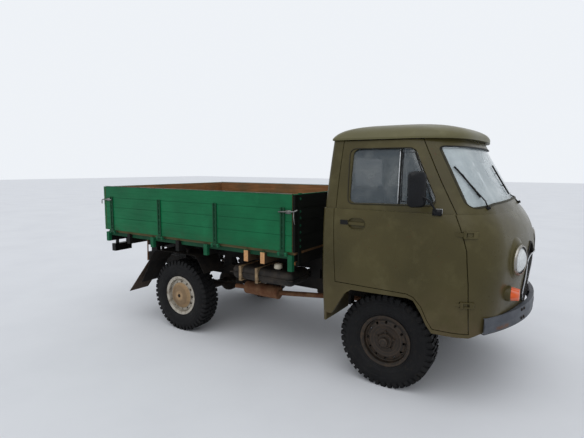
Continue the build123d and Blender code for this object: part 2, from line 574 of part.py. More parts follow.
def make_chassis():
    frame = channel(RAIL_REAR, RAIL_FRONT, RAIL_OUT, RAIL_IN, RAIL_BOTTOM, RAIL_TOP, RAIL_WALL)
    frame += channel(RAIL_REAR, RAIL_FRONT, -RAIL_OUT, -RAIL_IN, RAIL_BOTTOM, RAIL_TOP, RAIL_WALL)
    gap = RAIL_WALL + SEAT
    add("crossmembers", *[box(x - 30, x + 30, -RAIL_OUT + gap, RAIL_OUT - gap, RAIL_BOTTOM + gap, RAIL_TOP - gap)
                          for x in CROSSMEMBERS])
    # Spring hangers under the rails, with a pin at each spring's eye
    for axle_x in (0, REAR_X):
        for x in (axle_x - SPRING_HALF, axle_x + SPRING_HALF):
            for y in (-SPRING_Y, SPRING_Y):
                hanger = box(x - 35, x + 35, y - SPRING_W / 2 - 8, y + SPRING_W / 2 + 8,
                             SPRING_EYE_Z - 20, RAIL_BOTTOM + 2)
                hanger -= box(x - 36, x + 36, y - SPRING_W / 2 - 1, y + SPRING_W / 2 + 1,
                              SPRING_EYE_Z - 30, RAIL_BOTTOM)
                frame += hanger
                frame += rod((x, y - SPRING_W / 2 - 4, SPRING_EYE_Z), (x, y + SPRING_W / 2 + 4, SPRING_EYE_Z), 9)
    for axle_x, lean in SHOCK_LEANS:
        for s in (-1, 1):
            x = axle_x - SHOCK_X - lean
            frame += rod((x, s * (SHOCK_Y - 24), RAIL_BOTTOM + 55), (x, s * (RAIL_OUT - 2), RAIL_BOTTOM + 55), 8)
    # Front tow hooks on the rail ends
    for y in (-SPRING_Y, SPRING_Y):
        hook = side_prism([(RAIL_FRONT - 80, 560), (RAIL_FRONT + 35, 560), (RAIL_FRONT + 70, 580),
                           (RAIL_FRONT + 70, 618), (RAIL_FRONT + 45, 618), (RAIL_FRONT + 41, 588),
                           (RAIL_FRONT - 80, 588)], y - 9, y + 9)
        frame += hook + box(RAIL_FRONT - 80, RAIL_FRONT - 10, y - 20, y + 20, 586, RAIL_BOTTOM + 2)
    add("chassis_frame", frame)

    # Rear tow coupling: a jaw with an upright pin hole
    jaw = box(TAIL_X, TAIL_X + JAW_L, -55, 55, HITCH_Z - 60, HITCH_Z + 60)
    jaw = fillet(jaw.edges().filter_by(Axis.Z).group_by(Axis.X)[0], 50)
    jaw -= box(TAIL_X - 1, TAIL_X + JAW_L - 22, -60, 60, HITCH_Z - 38, HITCH_Z + 38)
    jaw -= Pos(TAIL_X + JAW_PIN, 0, HITCH_Z) * Cylinder(HITCH_R, 200)
    plate = box(TAIL_X + JAW_L, RAIL_REAR - SEAT, -110, 110, HITCH_Z - 52, HITCH_Z + 52)
    jaw += plate + box(TAIL_X + JAW_L - 2, TAIL_X + JAW_L + 2, -30, 30, HITCH_Z - 30, HITCH_Z + 30)
    add("tow_hitch", jaw)

    # Front bumper: a bent channel with ends that sweep back, on two brackets from the rails
    def bow(back):
        r = BUMPER_R - back
        y = BUMPER_END_Y - back / 2
        x_mid = FRONT_OVERHANG - 2 - BUMPER_R
        x = x_mid + sqrt(r * r - y * y)
        return ThreePointArc((x, -y), (x_mid + r, 0), (x, y))

    face = extrude(Pos(0, 0, BUMPER_LOW) * trace(bow(0), 4), BUMPER_HIGH - BUMPER_LOW)
    lip = trace(bow(BUMPER_LIP / 2), BUMPER_LIP)
    lips = extrude(Pos(0, 0, BUMPER_LOW) * lip, 4) + extrude(Pos(0, 0, BUMPER_HIGH - 4) * lip, 4)
    bumper = face + (lips - cab_skin(-MOVE))
    for s in (-1, 1):
        for y in (SPRING_Y - 24, SPRING_Y + 14):
            front_x = FRONT_OVERHANG - 2 - BUMPER_R + sqrt(BUMPER_R ** 2 - (y + 10) ** 2)
            bumper += side_prism([(RAIL_FRONT + SEAT, RAIL_BOTTOM + 2), (RAIL_FRONT + 50, BUMPER_LOW + 4),
                                  (front_x, BUMPER_LOW + 4), (front_x, NOSE_LOW - 10),
                                  (RAIL_FRONT + SEAT, NOSE_LOW - 10)], s * y, s * (y + 10))
    add("front_bumper", bumper)

    # Engine, as one plain block, with the gearbox and transfer case behind it
    add("engine", box(-330, 385, -ENGINE_HALF_W, ENGINE_HALF_W, 560, 1020))
    gearbox = fillet(box(-640, -330 - SEAT, -140, 140, 530, 702).edges().filter_by(Axis.X), 40)
    case = fillet(box(-980, -700, -170, 120, 450, 690).edges(), 35)
    neck = rod((-720, 0, 610), (-620, 0, 610), 60)
    beam = box(-650, -600, -RAIL_OUT + 4, RAIL_OUT - 4, 562, RAIL_BOTTOM - SEAT)
    add("gearbox", gearbox + case + neck + beam)
    front_shaft = shaft((-700 + SEAT, FRONT_DIFF_Y, 500), (-210 - SEAT, FRONT_DIFF_Y, HUB_Z + 20))
    rear_shaft = shaft((-980 - SEAT, 0, 560), (REAR_X + 210 + SEAT, 0, HUB_Z + 20))
    add("propeller_shafts", front_shaft, rear_shaft)

    # Axles: a tube with a differential bulb; the front one ends in open forks for the knuckles
    for name, x, half_len, diff_y in (("front_axle", 0, KINGPIN_Y - 60, FRONT_DIFF_Y),
                                      ("rear_axle", REAR_X, HALF_TRACK - DRUM_Y - PLATE_GAP, 0)):
        tube = rod((x, -half_len, HUB_Z), (x, half_len, HUB_Z), AXLE_TUBE_R)
        bulb = Pos(x, diff_y, HUB_Z) * Rot(90, 0, 0) * Cylinder(DIFF_R, 120)
        bulb = fillet(bulb.edges(), 40)
        nose_x = x - 210 if name == "front_axle" else x + 210
        nose = rod((x, diff_y, HUB_Z + 20), (nose_x, diff_y, HUB_Z + 20), 48)
        axle = tube + bulb + nose
        for y in (-SPRING_Y, SPRING_Y):
            axle += box(x - 45, x + 45, y - SPRING_W / 2 - 4, y + SPRING_W / 2 + 4, HUB_Z, HUB_Z + AXLE_TUBE_R + 12)
            inner_y = y - SPRING_W / 2 if y > 0 else y + SPRING_W / 2
            axle += box(x - SHOCK_X - 16, x - 30, inner_y - 6, inner_y + 6, HUB_Z + 4, HUB_Z + 36)
            axle += rod((x - SHOCK_X, inner_y, HUB_Z + 20),
                        (x - SHOCK_X, (SHOCK_Y - 24) * (1 if y > 0 else -1), HUB_Z + 20), 8)
        if name == "front_axle":
            for s in (-1, 1):
                # A fork whose two ears hold the kingpin above and below
                fork = box(-50, 50, s * (KINGPIN_Y - 60), s * (KINGPIN_Y - 46), HUB_Z - 95, HUB_Z + 95)
                for z0 in (HUB_Z - 95, HUB_Z + 71):
                    fork += box(-32, 32, s * (KINGPIN_Y - 60), s * KINGPIN_Y, z0, z0 + 24)
                    fork += Pos(0, s * KINGPIN_Y, z0 + 12) * Cylinder(32, 24)
                fork -= Pos(0, s * KINGPIN_Y, HUB_Z) * Cylinder(KINGPIN_R + FIT, 300)
                axle += fork
        else:
            for s in (-1, 1):
                plate_y = HALF_TRACK - DRUM_Y - PLATE_GAP
                axle += rod((x, s * half_len, HUB_Z), (x, s * (HALF_TRACK + SPINDLE_END), HUB_Z), SPINDLE_R)
                axle += rod((x, s * (plate_y - 8), HUB_Z), (x, s * plate_y, HUB_Z), PLATE_R)
        add(name, axle)

    # Leaf springs: stacked leaves on each side of each axle, with rolled eyes
    springs = []
    for axle_x in (0, REAR_X):
        for y in (-SPRING_Y, SPRING_Y):
            springs.append(leaf_spring(axle_x, y))
    add("leaf_springs", *springs)

    # Shock absorbers, from a pin on the axle to a pin across the rail
    shocks = []
    for axle_x, lean in SHOCK_LEANS:
        for s in (-1, 1):
            y = s * SHOCK_Y
            low = Vector(axle_x - SHOCK_X, y, HUB_Z + 20)
            high = Vector(axle_x - SHOCK_X - lean, y, RAIL_BOTTOM + 55)
            mid = (low + high) * 0.5
            body = rod(low, mid, 20) + rod(mid, high, 26)
            for end in (low, high):
                body += rod(end - Vector(0, 20, 0), end + Vector(0, 20, 0), 18)
            for end in (low, high):
                body -= rod(end - Vector(0, 60, 0), end + Vector(0, 60, 0), 8 + SEAT)
            shocks.append(body)
    add("shock_absorbers", *shocks)


def shaft(a, b):
    """A propeller shaft with a flange at each end."""
    a, b = Vector(a), Vector(b)
    step = (b - a).normalized() * 26
    x_step = Vector(8 if b.X > a.X else -8, 0, 0)
    return rod(a + x_step, b - x_step, 28) + rod(a, a + x_step, 48) + rod(b - x_step, b, 48) \
        + rod(a + x_step, a + x_step + step, 36) + rod(b - x_step - step, b - x_step, 36)


def leaf_spring(axle_x, y):
    """Five leaves bowed downwards at the middle, clamped on the axle's seat by a plate and two bolts."""
    seat_z = HUB_Z + AXLE_TUBE_R + 12 + SEAT
    rise = SPRING_EYE_Z - seat_z - LEAF_T / 2
    spring = None
    for i in range(LEAVES):
        half = (SPRING_HALF - 12) * (1 - 0.17 * (LEAVES - 1 - i)) if i < LEAVES - 1 else SPRING_HALF
        z_mid = seat_z + LEAF_T * i + LEAF_T / 2
        drop = rise - LEAF_T * (LEAVES - 1)
        z_end = z_mid + drop * (half / SPRING_HALF) ** 2
        arc = ThreePointArc((axle_x - half, z_end), (axle_x, z_mid), (axle_x + half, z_end))
        strip = trace(arc, LEAF_T)
        plane = Plane(origin=(0, y + SPRING_W / 2, 0), x_dir=(1, 0, 0), z_dir=(0, -1, 0))
        leaf = extrude(plane * strip, SPRING_W)
        spring = leaf if spring is None else spring + leaf
    for s in (-1, 1):
        eye = rod((axle_x + s * SPRING_HALF, y - SPRING_W / 2, SPRING_EYE_Z),
                  (axle_x + s * SPRING_HALF, y + SPRING_W / 2, SPRING_EYE_Z), 20)
        spring += eye
    for s in (-1, 1):
        spring -= rod((axle_x + s * SPRING_HALF, y - 60, SPRING_EYE_Z),
                      (axle_x + s * SPRING_HALF, y + 60, SPRING_EYE_Z), 9 + SEAT)
    top = seat_z + LEAF_T * LEAVES
    spring += box(axle_x - 50, axle_x + 50, y - SPRING_W / 2 - 6, y + SPRING_W / 2 + 6, top - 2, top + 12)
    return spring


def make_steering():
    # Knuckles: a block between the fork's ears, the spindle for the wheel, and the arms
    for name, s in (("knuckle_right", -1), ("knuckle_left", 1)):
        y = s * KINGPIN_Y
        block = Pos(0, y, HUB_Z) * Cylinder(30, 2 * (71 - SEAT))
        pin = Pos(0, y, HUB_Z) * Cylinder(KINGPIN_R, 2 * 100)
        spindle = rod((0, y, HUB_Z), (0, s * (HALF_TRACK + SPINDLE_END), HUB_Z), SPINDLE_R)
        plate_y = HALF_TRACK - DRUM_Y - PLATE_GAP
        plate = rod((0, s * (plate_y - 8), HUB_Z), (0, s * plate_y, HUB_Z), PLATE_R)
        neck = rod((0, y, HUB_Z), (0, s * (plate_y - 4), HUB_Z), 44)
        low_z = HUB_Z - 100
        arm_y = s * (KINGPIN_Y - ARM_INBOARD)
        arm = Pos(0, y, low_z - 8) * Cylinder(26, 16)
        arm += box(-18, 18, y, arm_y, low_z - 16, low_z)
        arm += box(-18, STEER_ARM, arm_y - 14, arm_y + 14, low_z - 16, low_z)
        arm += Pos(STEER_ARM, arm_y, low_z - 8) * Cylinder(20, 16)
        body = block + pin + spindle + plate + neck + arm
        if s < 0:
            body += Pos(STEER_ARM, arm_y, low_z - 16 - 17) * Cylinder(TRACK_PIN_R, 34)
        add(name, body)
    # Track rod below the arms: its right eye turns on the pin, its left eye lies under the left arm
    rod_z = HUB_Z - 116 - 17
    end_y = KINGPIN_Y - ARM_INBOARD
    bar = rod((STEER_ARM, -end_y, rod_z), (STEER_ARM, end_y, rod_z), 15)
    for s in (-1, 1):
        bar += Pos(STEER_ARM, s * end_y, rod_z) * Cylinder(22, 34 - 2 * SEAT)
    bar -= Pos(STEER_ARM, -end_y, rod_z) * Cylinder(TRACK_PIN_R + FIT, 60)
    add("track_rod", bar)
    # Steering box on the outside of the left rail, and the column up to the wheel
    gear = box(GEAR_X - 60, GEAR_X + 60, RAIL_OUT + SEAT, RAIL_OUT + 56, 610, 700)
    gear = fillet(gear.edges().filter_by(Axis.X), 12)
    axis = (Vector(COLUMN_TOP) - Vector(COLUMN_FOOT)).normalized()
    column = rod(Vector(COLUMN_FOOT) - axis * 20, COLUMN_TOP, 20)
    add("steering_column", gear + column)
    centre = Vector(*COLUMN_TOP) + axis * 30
    plane = Plane(origin=centre, x_dir=(0, 1, 0), z_dir=axis)
    rim = plane.location * Torus(WHEEL_RIM_R, 12)
    hub = plane.location * Cylinder(32, 2 * (30 - SEAT))
    spokes = [rod(centre, centre + plane.x_dir * (WHEEL_RIM_R * cos(a)) + plane.y_dir * (WHEEL_RIM_R * sin(a)), 8)
              for a in (radians(-20), radians(200), radians(90))]
    wheel = rim + hub
    for spoke in spokes:
        wheel += spoke
    add("steering_wheel", wheel)


def make_wheels():
    half = TYRE_W / 2
    profile = [
        Line((RIM_FLANGE_R - 2, BEAD_Y), (RIM_FLANGE_R + 6, 84)),
        ThreePointArc((RIM_FLANGE_R + 6, 84), (RIM_FLANGE_R + 66, half), (CARCASS_R - 26, 92)),
        Line((CARCASS_R - 26, 92), (CARCASS_R, 74)),
        Line((CARCASS_R, 74), (CARCASS_R, -74)),
        Line((CARCASS_R, -74), (CARCASS_R - 26, -92)),
        ThreePointArc((CARCASS_R - 26, -92), (RIM_FLANGE_R + 66, -half), (RIM_FLANGE_R + 6, -84)),
        Line((RIM_FLANGE_R + 6, -84), (RIM_FLANGE_R - 2, -BEAD_Y)),
        Line((RIM_FLANGE_R - 2, -BEAD_Y), (RIM_BARREL_R + SEAT, -BEAD_Y)),
        Line((RIM_BARREL_R + SEAT, -BEAD_Y), (RIM_BARREL_R + SEAT, BEAD_Y)),
        Line((RIM_BARREL_R + SEAT, BEAD_Y), (RIM_FLANGE_R - 2, BEAD_Y)),
    ]
    carcass = revolve(make_face(profile), Axis.Y)
    lugs = []
    pitch = 360 / LUGS
    for i in range(LUGS):
        for y0, y1, half_w, turn in LUG_ROWS:
            block = Pos((CARCASS_R - LUG_ROOT + TYRE_R) / 2, (y0 + y1) / 2, 0) \
                * Box(TYRE_R - CARCASS_R + LUG_ROOT, y1 - y0, 2 * half_w)
            lugs.append(Rot(0, pitch * (i + turn), 0) * block)
    tyre = carcass + lugs
    cut = revolve(make_face(Polyline((TYRE_R, 200), (TYRE_R, -200), (TYRE_R + 40, -200), (TYRE_R + 40, 200),
                                     close=True)), Axis.Y)
    tyre -= cut

    barrel = [(RIM_BARREL_R, 76), (RIM_BARREL_R, -76), (RIM_FLANGE_R - 3, -79), (RIM_FLANGE_R, -RIM_HALF_W),
              (RIM_FLANGE_R - 5, -RIM_HALF_W), (RIM_BARREL_R - 8, -80), (RIM_BARREL_R - 8, HUB_FACE - 22),
              (RIM_BARREL_R - 34, HUB_FACE - 6), (130, HUB_FACE + 8), (105, HUB_FACE), (HUB_BORE_R + FIT, HUB_FACE),
              (HUB_BORE_R + FIT, HUB_FACE + 8), (100, HUB_FACE + 8), (128, HUB_FACE + 16),
              (RIM_BARREL_R - 30, HUB_FACE + 3), (RIM_BARREL_R - 8, HUB_FACE - 8), (RIM_BARREL_R - 8, 80),
              (RIM_FLANGE_R - 5, RIM_HALF_W), (RIM_FLANGE_R, RIM_HALF_W), (RIM_FLANGE_R - 3, 79)]
    rim = revolve(make_face(Polyline(*barrel, close=True)), Axis.Y)
    for i in range(RIM_SLOTS):
        rim -= Rot(0, i * 360 / RIM_SLOTS, 0) * Pos(148, HUB_FACE, 0) * Rot(90, 0, 0) * Cylinder(11, 60)
    drum = revolve(make_face(Polyline((SPINDLE_R + FIT, -32), (152, -32), (155, -6), (150, HUB_FACE - 30),
                                      (110, HUB_FACE + 1), (SPINDLE_R + FIT, HUB_FACE + 1), close=True)), Axis.Y)
    drum -= revolve(make_face(Polyline((SPINDLE_R + 20, -33), (144, -33), (144, -4), (SPINDLE_R + 20, -4),
                                       close=True)), Axis.Y)
    rim += drum
    edge, crown, flat = HUB_FACE + 16 + SEAT, HUB_FACE + 50, 40
    cap = revolve(make_face([
        Line((0, crown - 5), (0, crown)), Line((0, crown), (flat, crown)),
        ThreePointArc((flat, crown), (102, crown - 11), (136, edge)),
        Line((136, edge), (128, edge)),
        ThreePointArc((128, edge), (96, crown - 16), (flat, crown - 5)),
        Line((flat, crown - 5), (0, crown - 5))]), Axis.Y)
    hub = revolve(make_face(Polyline((0, HUB_FACE - 4), (62, HUB_FACE - 4), (62, HUB_FACE + 22), (54, HUB_FACE + 34),
                                     (34, HUB_FACE + 38), (34, HUB_FACE + 70), (26, HUB_FACE + 76),
                                     (0, HUB_FACE + 76), close=True)), Axis.Y)
    hub -= Pos(0, HUB_FACE - 10, 0) * Rot(90, 0, 0) * Cylinder(SPINDLE_R + 3, 60)
    front_rim = rim + hub
    for axle, x, discs in (("front", 0, [front_rim]), ("rear", REAR_X, [rim, cap])):
        for side, s in (("right", -1), ("left", 1)):
            place = Pos(x, s * HALF_TRACK, HUB_Z)
            turn = Rot(0, 0, 180) if s < 0 else Rot(0, 0, 0)
            # A lug points straight down in each tyre
            add(f"tyre_{axle}_{side}", place * turn * Rot(0, 90, 0) * tyre)
            add(f"rim_{axle}_{side}", *[place * turn * disc for disc in discs])


def make_bed():
    bearers = []
    beam = box(BED_REAR + 20, BED_FRONT - 40, RAIL_IN - 5, RAIL_OUT + 5, BEAM_LOW, BEARER_LOW + 2)
    beams = beam + mirrored(beam)
    frame = beams
    for x in BEARERS:
        frame += box(x - BEARER_W / 2, x + BEARER_W / 2, -BED_HALF_W + 8, BED_HALF_W - 8,
                     BEARER_LOW, FLOOR_TOP - PLANK_T)
    for x in PEDESTALS:
        for s in (-1, 1):
            y = s * (RAIL_IN + RAIL_OUT) / 2
            frame += box(x - 50, x + 50, y - 30, y + 30, RAIL_TOP + SEAT, BEAM_LOW + 1)
    # The front bearer hangs lower at its ends
    for s in (-1, 1):
        frame += box(BEARERS[0] - BEARER_W / 2, BEARERS[0] + BEARER_W / 2,
                     s * (BED_HALF_W - 8), s * (BED_HALF_W - 60), 880, FLOOR_TOP - PLANK_T)
    # Side rails, with the eyes and pins that the side boards turn on, and the same at the rear sill
    for s in (-1, 1):
        frame += box(BED_REAR + 10, BEARERS[0], s * EDGE_RAIL_Y, s * (EDGE_RAIL_Y + 20), EYE_LOW - 32, BED_TOP)
        for x in SIDE_HINGES:
            frame += Pos(x, s * (BED_HALF_W + PIN_OUT), 0) * hinge_eye(-s * (BED_HALF_W + PIN_OUT - EDGE_RAIL_Y))
    for y in TAIL_HINGES:
        frame += Pos(BED_REAR - PIN_OUT, y, 0) * Rot(0, 0, 90) * hinge_eye(-PIN_OUT - 20)
    sill = box(BED_REAR + 2, BED_REAR + 47, -BED_HALF_W + 8, BED_HALF_W - 8, BEARER_LOW,
               FLOOR_TOP - PLANK_T)
    frame += sill
    add("bed_frame", frame)

    # Floor planks, laid lengthwise with a gap between them
    width = (2 * (BED_HALF_W - BOARD_T - SEAM) + PLANK_GAP) / PLANKS
    planks = []
    for i in range(PLANKS):
        y0 = -(BED_HALF_W - BOARD_T - SEAM) + i * width
        planks.append(box(BED_REAR + BOARD_T + SEAM, BED_FRONT - BOARD_T - SEAT, y0, y0 + width - PLANK_GAP,
                          FLOOR_TOP - PLANK_T + SEAT, FLOOR_TOP))
    add("bed_floor", *planks)


def hinge_eye(reach):
    """Two eyes along X with a pin through them, each on a tongue that runs back by reach along Y."""
    eye = rod((-EYE_OUT, 0, BOARD_PIN_Z), (EYE_OUT, 0, BOARD_PIN_Z), BOARD_PIN_R)
    for x0, x1 in ((-EYE_OUT, -STRAP_W / 2 - 2), (STRAP_W / 2 + 2, EYE_OUT)):
        eye += rod((x0, 0, BOARD_PIN_Z), (x1, 0, BOARD_PIN_Z), 12)
        eye += box(x0, x1, 0, reach, EYE_LOW, BED_TOP)
        eye += box(x0, x1, -6, 6, EYE_LOW, BOARD_PIN_Z)
    return eye


def make_board(length, hinges):
    """A drop board lying along X from 0 to length, its outer face at y = 0 and its inside towards +Y."""
    z = BOARD_BOTTOM
    board = None
    for share in BOARD_PLANKS:
        high = z + share * (BOARD_TOP - BOARD_BOTTOM)
        plank = box(0, length, 0, BOARD_T, z, high - 3)
        rebate = box(0, length, 6, BOARD_T - 6, high - 4, min(high + 1, BOARD_TOP))
        board = plank if board is None else board + plank
        if high < BOARD_TOP - 1:
            board += rebate
        z = high
    for x in hinges:
        strap = box(x - STRAP_W / 2, x + STRAP_W / 2, -STRAP_T, 0.5, BOARD_BOTTOM - 4, STRAP_TOP)
        strap -= box(x - STRAP_W / 2 + 12, x + STRAP_W / 2 - 12, -STRAP_T - 1, -3, BOARD_BOTTOM + 20, STRAP_TOP + 5)
        lug = rod((x - STRAP_W / 2, -6, BOARD_PIN_Z), (x + STRAP_W / 2, -6, BOARD_PIN_Z), 12)
        lug += box(x - STRAP_W / 2, x + STRAP_W / 2, -STRAP_T, -2, BOARD_PIN_Z, BOARD_BOTTOM)
        lug -= rod((x - 60, -6, BOARD_PIN_Z), (x + 60, -6, BOARD_PIN_Z), BOARD_PIN_R + FIT)
        inner = box(x - 17, x + 17, BOARD_T - 0.5, BOARD_T + 3.5, BOARD_BOTTOM + 6, STRAP_TOP + 60)
        board += strap + lug + inner
    return board


def make_boards():
    length = BED_FRONT - BOARD_T - BED_REAR - BOARD_T - 2 * SEAM
    front = BED_FRONT - BOARD_T - SEAM
    back = front - length
    side = make_board(length, [x - back for x in SIDE_HINGES])
    right = Pos(back, -BED_HALF_W, 0) * side
    add("side_board_right", right)
    add("side_board_left", mirrored(right))
    tail_len = 2 * BED_HALF_W
    tail = make_board(tail_len, [y + BED_HALF_W for y in TAIL_HINGES])
    tail = Pos(BED_REAR, BED_HALF_W, 0) * (Rot(0, 0, -90) * tail)
    add("tailboard", tail)

    # Headboard: planks between steel straps that stand on the front bearer
    head = box(BED_FRONT - BOARD_T, BED_FRONT, -BED_HALF_W, BED_HALF_W, BOARD_BOTTOM, BOARD_TOP)
    for share in (0.29, 0.53, 0.75):
        z = BOARD_BOTTOM + share * (BOARD_TOP - BOARD_BOTTOM)
        head -= box(BED_FRONT - 5, BED_FRONT + 5, -1200, 1200, z - 2, z + 2)
    for y in (-920, -330, 330, 920):
        head += box(BED_FRONT - 2, BED_FRONT + STRAP_T, y - STRAP_W / 2, y + STRAP_W / 2,
                    FLOOR_TOP - PLANK_T - 90, BOARD_TOP + 8)
        head += box(BEARERS[0] + BEARER_W / 2 + SEAT, BED_FRONT + STRAP_T, y - STRAP_W / 2, y + STRAP_W / 2,
                    FLOOR_TOP - PLANK_T - 90, FLOOR_TOP - PLANK_T - 60)
    add("headboard", head)


def make_rear_fittings():
    # Mudguards: a bent sheet over each rear wheel with a flap behind it
    guards = []
    sheet = trace(FilletPolyline((REAR_X + 440, 700), (REAR_X + 330, GUARD_Z), (REAR_X - 275, GUARD_Z),
                                 (REAR_X - 395, 717), radius=90), 3)
    for s in (-1, 1):
        y0, y1 = s * (HALF_TRACK - 130), s * (HALF_TRACK + 175)
        plane = Plane(origin=(0, max(y0, y1), 0), x_dir=(1, 0, 0), z_dir=(0, -1, 0))
        guard = extrude(plane * sheet, abs(y1 - y0))
        for x in (REAR_X - 218, REAR_X + 160):
            for y in (min(y0, y1) + 60, max(y0, y1) - 60):
                guard += box(x - 12, x + 12, y - 12, y + 12, GUARD_Z, BEARER_LOW - SEAT)
        flap = side_prism([(REAR_X - 383, 735), (REAR_X - 393, 735), (REAR_X - 555, 460), (REAR_X - 545, 460)],
                          min(y0, y1) + 30, max(y0, y1) - 20)
        guards.append(guard + flap)
    add("rear_mudguards", *guards)

    lamps = []
    for s in (-1, 1):
        lamp = box(BED_REAR - 14, BED_REAR + 46, s * 680, s * 905, 785, 870)
        lamp += box(BED_REAR - 26, BED_REAR - 14, s * 690, s * 895, 795, 860)
        for y in (720, 860):
            lamp += box(BED_REAR + 10, BED_REAR + 40, s * (y - 12), s * (y + 12), 869, BEARER_LOW - SEAT)
        lamps.append(lamp)
    plate = box(BED_REAR + 4, BED_REAR + 8, 150, 670, 760, 872)
    for y in (200, 620):
        plate += box(BED_REAR + 7, BED_REAR + 30, y - 12, y + 12, 860, BEARER_LOW - SEAT)
    add("tail_lamps", *lamps, plate)


def make_tank_and_exhaust():
    tank = box(TANK_X0, TANK_X1, -TANK_Y1, -TANK_Y0, TANK_LOW, TANK_HIGH)
    tank = fillet(tank.edges(), TANK_R)
    seam = (TANK_LOW + TANK_HIGH) / 2
    tank += box(TANK_X0 - 12, TANK_X1 + 12, -TANK_Y1 - 12, -TANK_Y0 + 12, seam - 3, seam + 3)
    neck = (TANK_X1 - 190, -TANK_Y1 + 70)
    tank += rod((neck[0], neck[1], TANK_HIGH - 10), (neck[0], neck[1], TANK_HIGH + 30), 26)
    for x in TANK_STRAPS:
        band = box(x - 15, x + 15, -TANK_Y1 - 14, -TANK_Y0 + 14, TANK_LOW - 3, TANK_HIGH + 3)
        band -= box(x - 20, x + 20, -TANK_Y1 - 11, -TANK_Y0 + 11, TANK_LOW, TANK_HIGH)
        shelf = box(x - 15, x + 15, -TANK_Y1 - 14, -RAIL_OUT - SEAT, TANK_LOW - 11, TANK_LOW - 3)
        shelf += box(x - 15, x + 15, -RAIL_OUT - SEAT - 6, -RAIL_OUT - SEAT, RAIL_BOTTOM + 8, TANK_LOW - 3)
        tank += band + shelf
    add("fuel_tank", tank)
    cap = Pos(neck[0], neck[1], TANK_HIGH + 30 + SEAT + 9) * Cylinder(33, 18)
    cap = fillet(cap.edges().group_by(Axis.Z)[-1], 6)
    add("filler_cap", cap)
    muffler = rod((MUFFLER_X0, MUFFLER_Y, MUFFLER_Z), (MUFFLER_X1, MUFFLER_Y, MUFFLER_Z), 64)
    muffler = fillet(muffler.edges(), 14)
    bend = (-420, -250, 520)
    pipe = rod((MUFFLER_X1 - 5, MUFFLER_Y, MUFFLER_Z), bend, 24)
    tail = rod((MUFFLER_X0 + 5, MUFFLER_Y, MUFFLER_Z), (MUFFLER_X0 - 120, MUFFLER_Y - 30, MUFFLER_Z), 22)
    exhaust = muffler + pipe + tail
    top = (-280, -232, 700)
    exhaust += Pos(*bend) * Sphere(24) + rod(bend, top, 24) + Pos(*top) * Sphere(24)
    exhaust += rod(top, (top[0], -ENGINE_HALF_W - SEAT, top[2]), 24)
    for x in (MUFFLER_X0 + 60, MUFFLER_X1 - 60):
        exhaust += box(x - 12, x + 12, -RAIL_OUT - 60, -RAIL_IN - 8, RAIL_BOTTOM - SEAT - 5, RAIL_BOTTOM - SEAT)
        exhaust += box(x - 12, x + 12, MUFFLER_Y, -RAIL_OUT - 40, RAIL_BOTTOM - SEAT - 5, RAIL_BOTTOM - SEAT)
    add("exhaust", exhaust)


make_chassis()
make_tank_and_exhaust()
make_steering()
make_wheels()
make_cab()
make_bed()
make_boards()
make_rear_fittings()

os.makedirs("parts", exist_ok=True)
for name, solids in NODES.items():
    if not solids:
        print("no solid in", name)
        continue
    shape = solids[0] if len(solids) == 1 else Compound(children=solids)
    export_step(shape, f"parts/{name}.step")
print(len(NODES), "nodes")
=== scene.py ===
from math import asin, copysign, cos, radians, sin, tan, tau

import bmesh
import bpy
from mathutils import Euler, Matrix, Vector
from mathutils.bvhtree import BVHTree


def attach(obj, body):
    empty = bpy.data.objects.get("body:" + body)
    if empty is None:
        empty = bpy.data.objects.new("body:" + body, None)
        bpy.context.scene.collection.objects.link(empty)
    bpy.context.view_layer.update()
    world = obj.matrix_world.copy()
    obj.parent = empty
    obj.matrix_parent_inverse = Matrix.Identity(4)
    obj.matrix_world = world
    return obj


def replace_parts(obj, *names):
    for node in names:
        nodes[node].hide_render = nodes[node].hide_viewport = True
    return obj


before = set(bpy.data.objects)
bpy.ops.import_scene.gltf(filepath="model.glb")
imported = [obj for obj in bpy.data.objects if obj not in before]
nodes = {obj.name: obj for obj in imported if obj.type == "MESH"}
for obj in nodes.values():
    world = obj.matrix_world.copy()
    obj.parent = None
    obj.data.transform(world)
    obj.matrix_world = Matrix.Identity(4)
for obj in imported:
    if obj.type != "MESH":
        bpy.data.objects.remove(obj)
scene = bpy.context.scene
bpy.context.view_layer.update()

# Places along the truck, in metres, as in the solids
SHIFT = 1.195
FRONT_X, REAR_X = SHIFT, SHIFT - 2.3
HUB_Z, HALF_TRACK = 0.382, 0.721
BED_FRONT, BED_REAR, BED_HALF = SHIFT - 0.735, SHIFT - 3.29, 0.99
BOARD_LOW, BOARD_HIGH = 1.050, 1.540
SIDE_STRAPS = tuple(SHIFT + x for x in (-0.857, -1.617, -2.379, -3.155))
TAIL_STRAPS = (-0.64, 0.0, 0.64)
BEARERS = tuple(SHIFT + x for x in (-0.791, -1.077, -1.261, -1.757, -2.14, -2.518, -2.9))
RAW_BEARERS, DARK_BEARERS = BEARERS[1:3], (BEARERS[4], BEARERS[6])
TANK_STRAPS = (SHIFT - 1.405, SHIFT - 1.215)
SIDES = (("right", -1), ("left", 1))
# The photograph's size and focal length in pixels, and its camera's place and turns in metres and degrees
PHOTO_W, PHOTO_H, FOCAL = 584, 438, 433.1
EYE, YAW, PITCH, ROLL = (2.3346, -4.0206, 1.7582), 32.14, -6.76, 0.27
SENSOR_MM = 36
# The near wiper in the photograph's pixels: its blade's ends, its arm's foot and joint
BLADE_LOW, BLADE_HIGH, ARM_FOOT, ARM_JOINT = (479.5, 198.0), (453.5, 167.0), (487.5, 208.5), (465.5, 181.8)
# Half sizes of the mirror's housing, and its rings: how far forward, how far in from the outline
MIRROR_W, MIRROR_H = 0.0675, 0.126
MIRROR_SHELL = ((-0.0198, 0.007), (-0.018, 0.002), (-0.010, 0.0), (0.006, 0.002), (0.016, 0.010),
                (0.022, 0.026), (0.0245, 0.048))
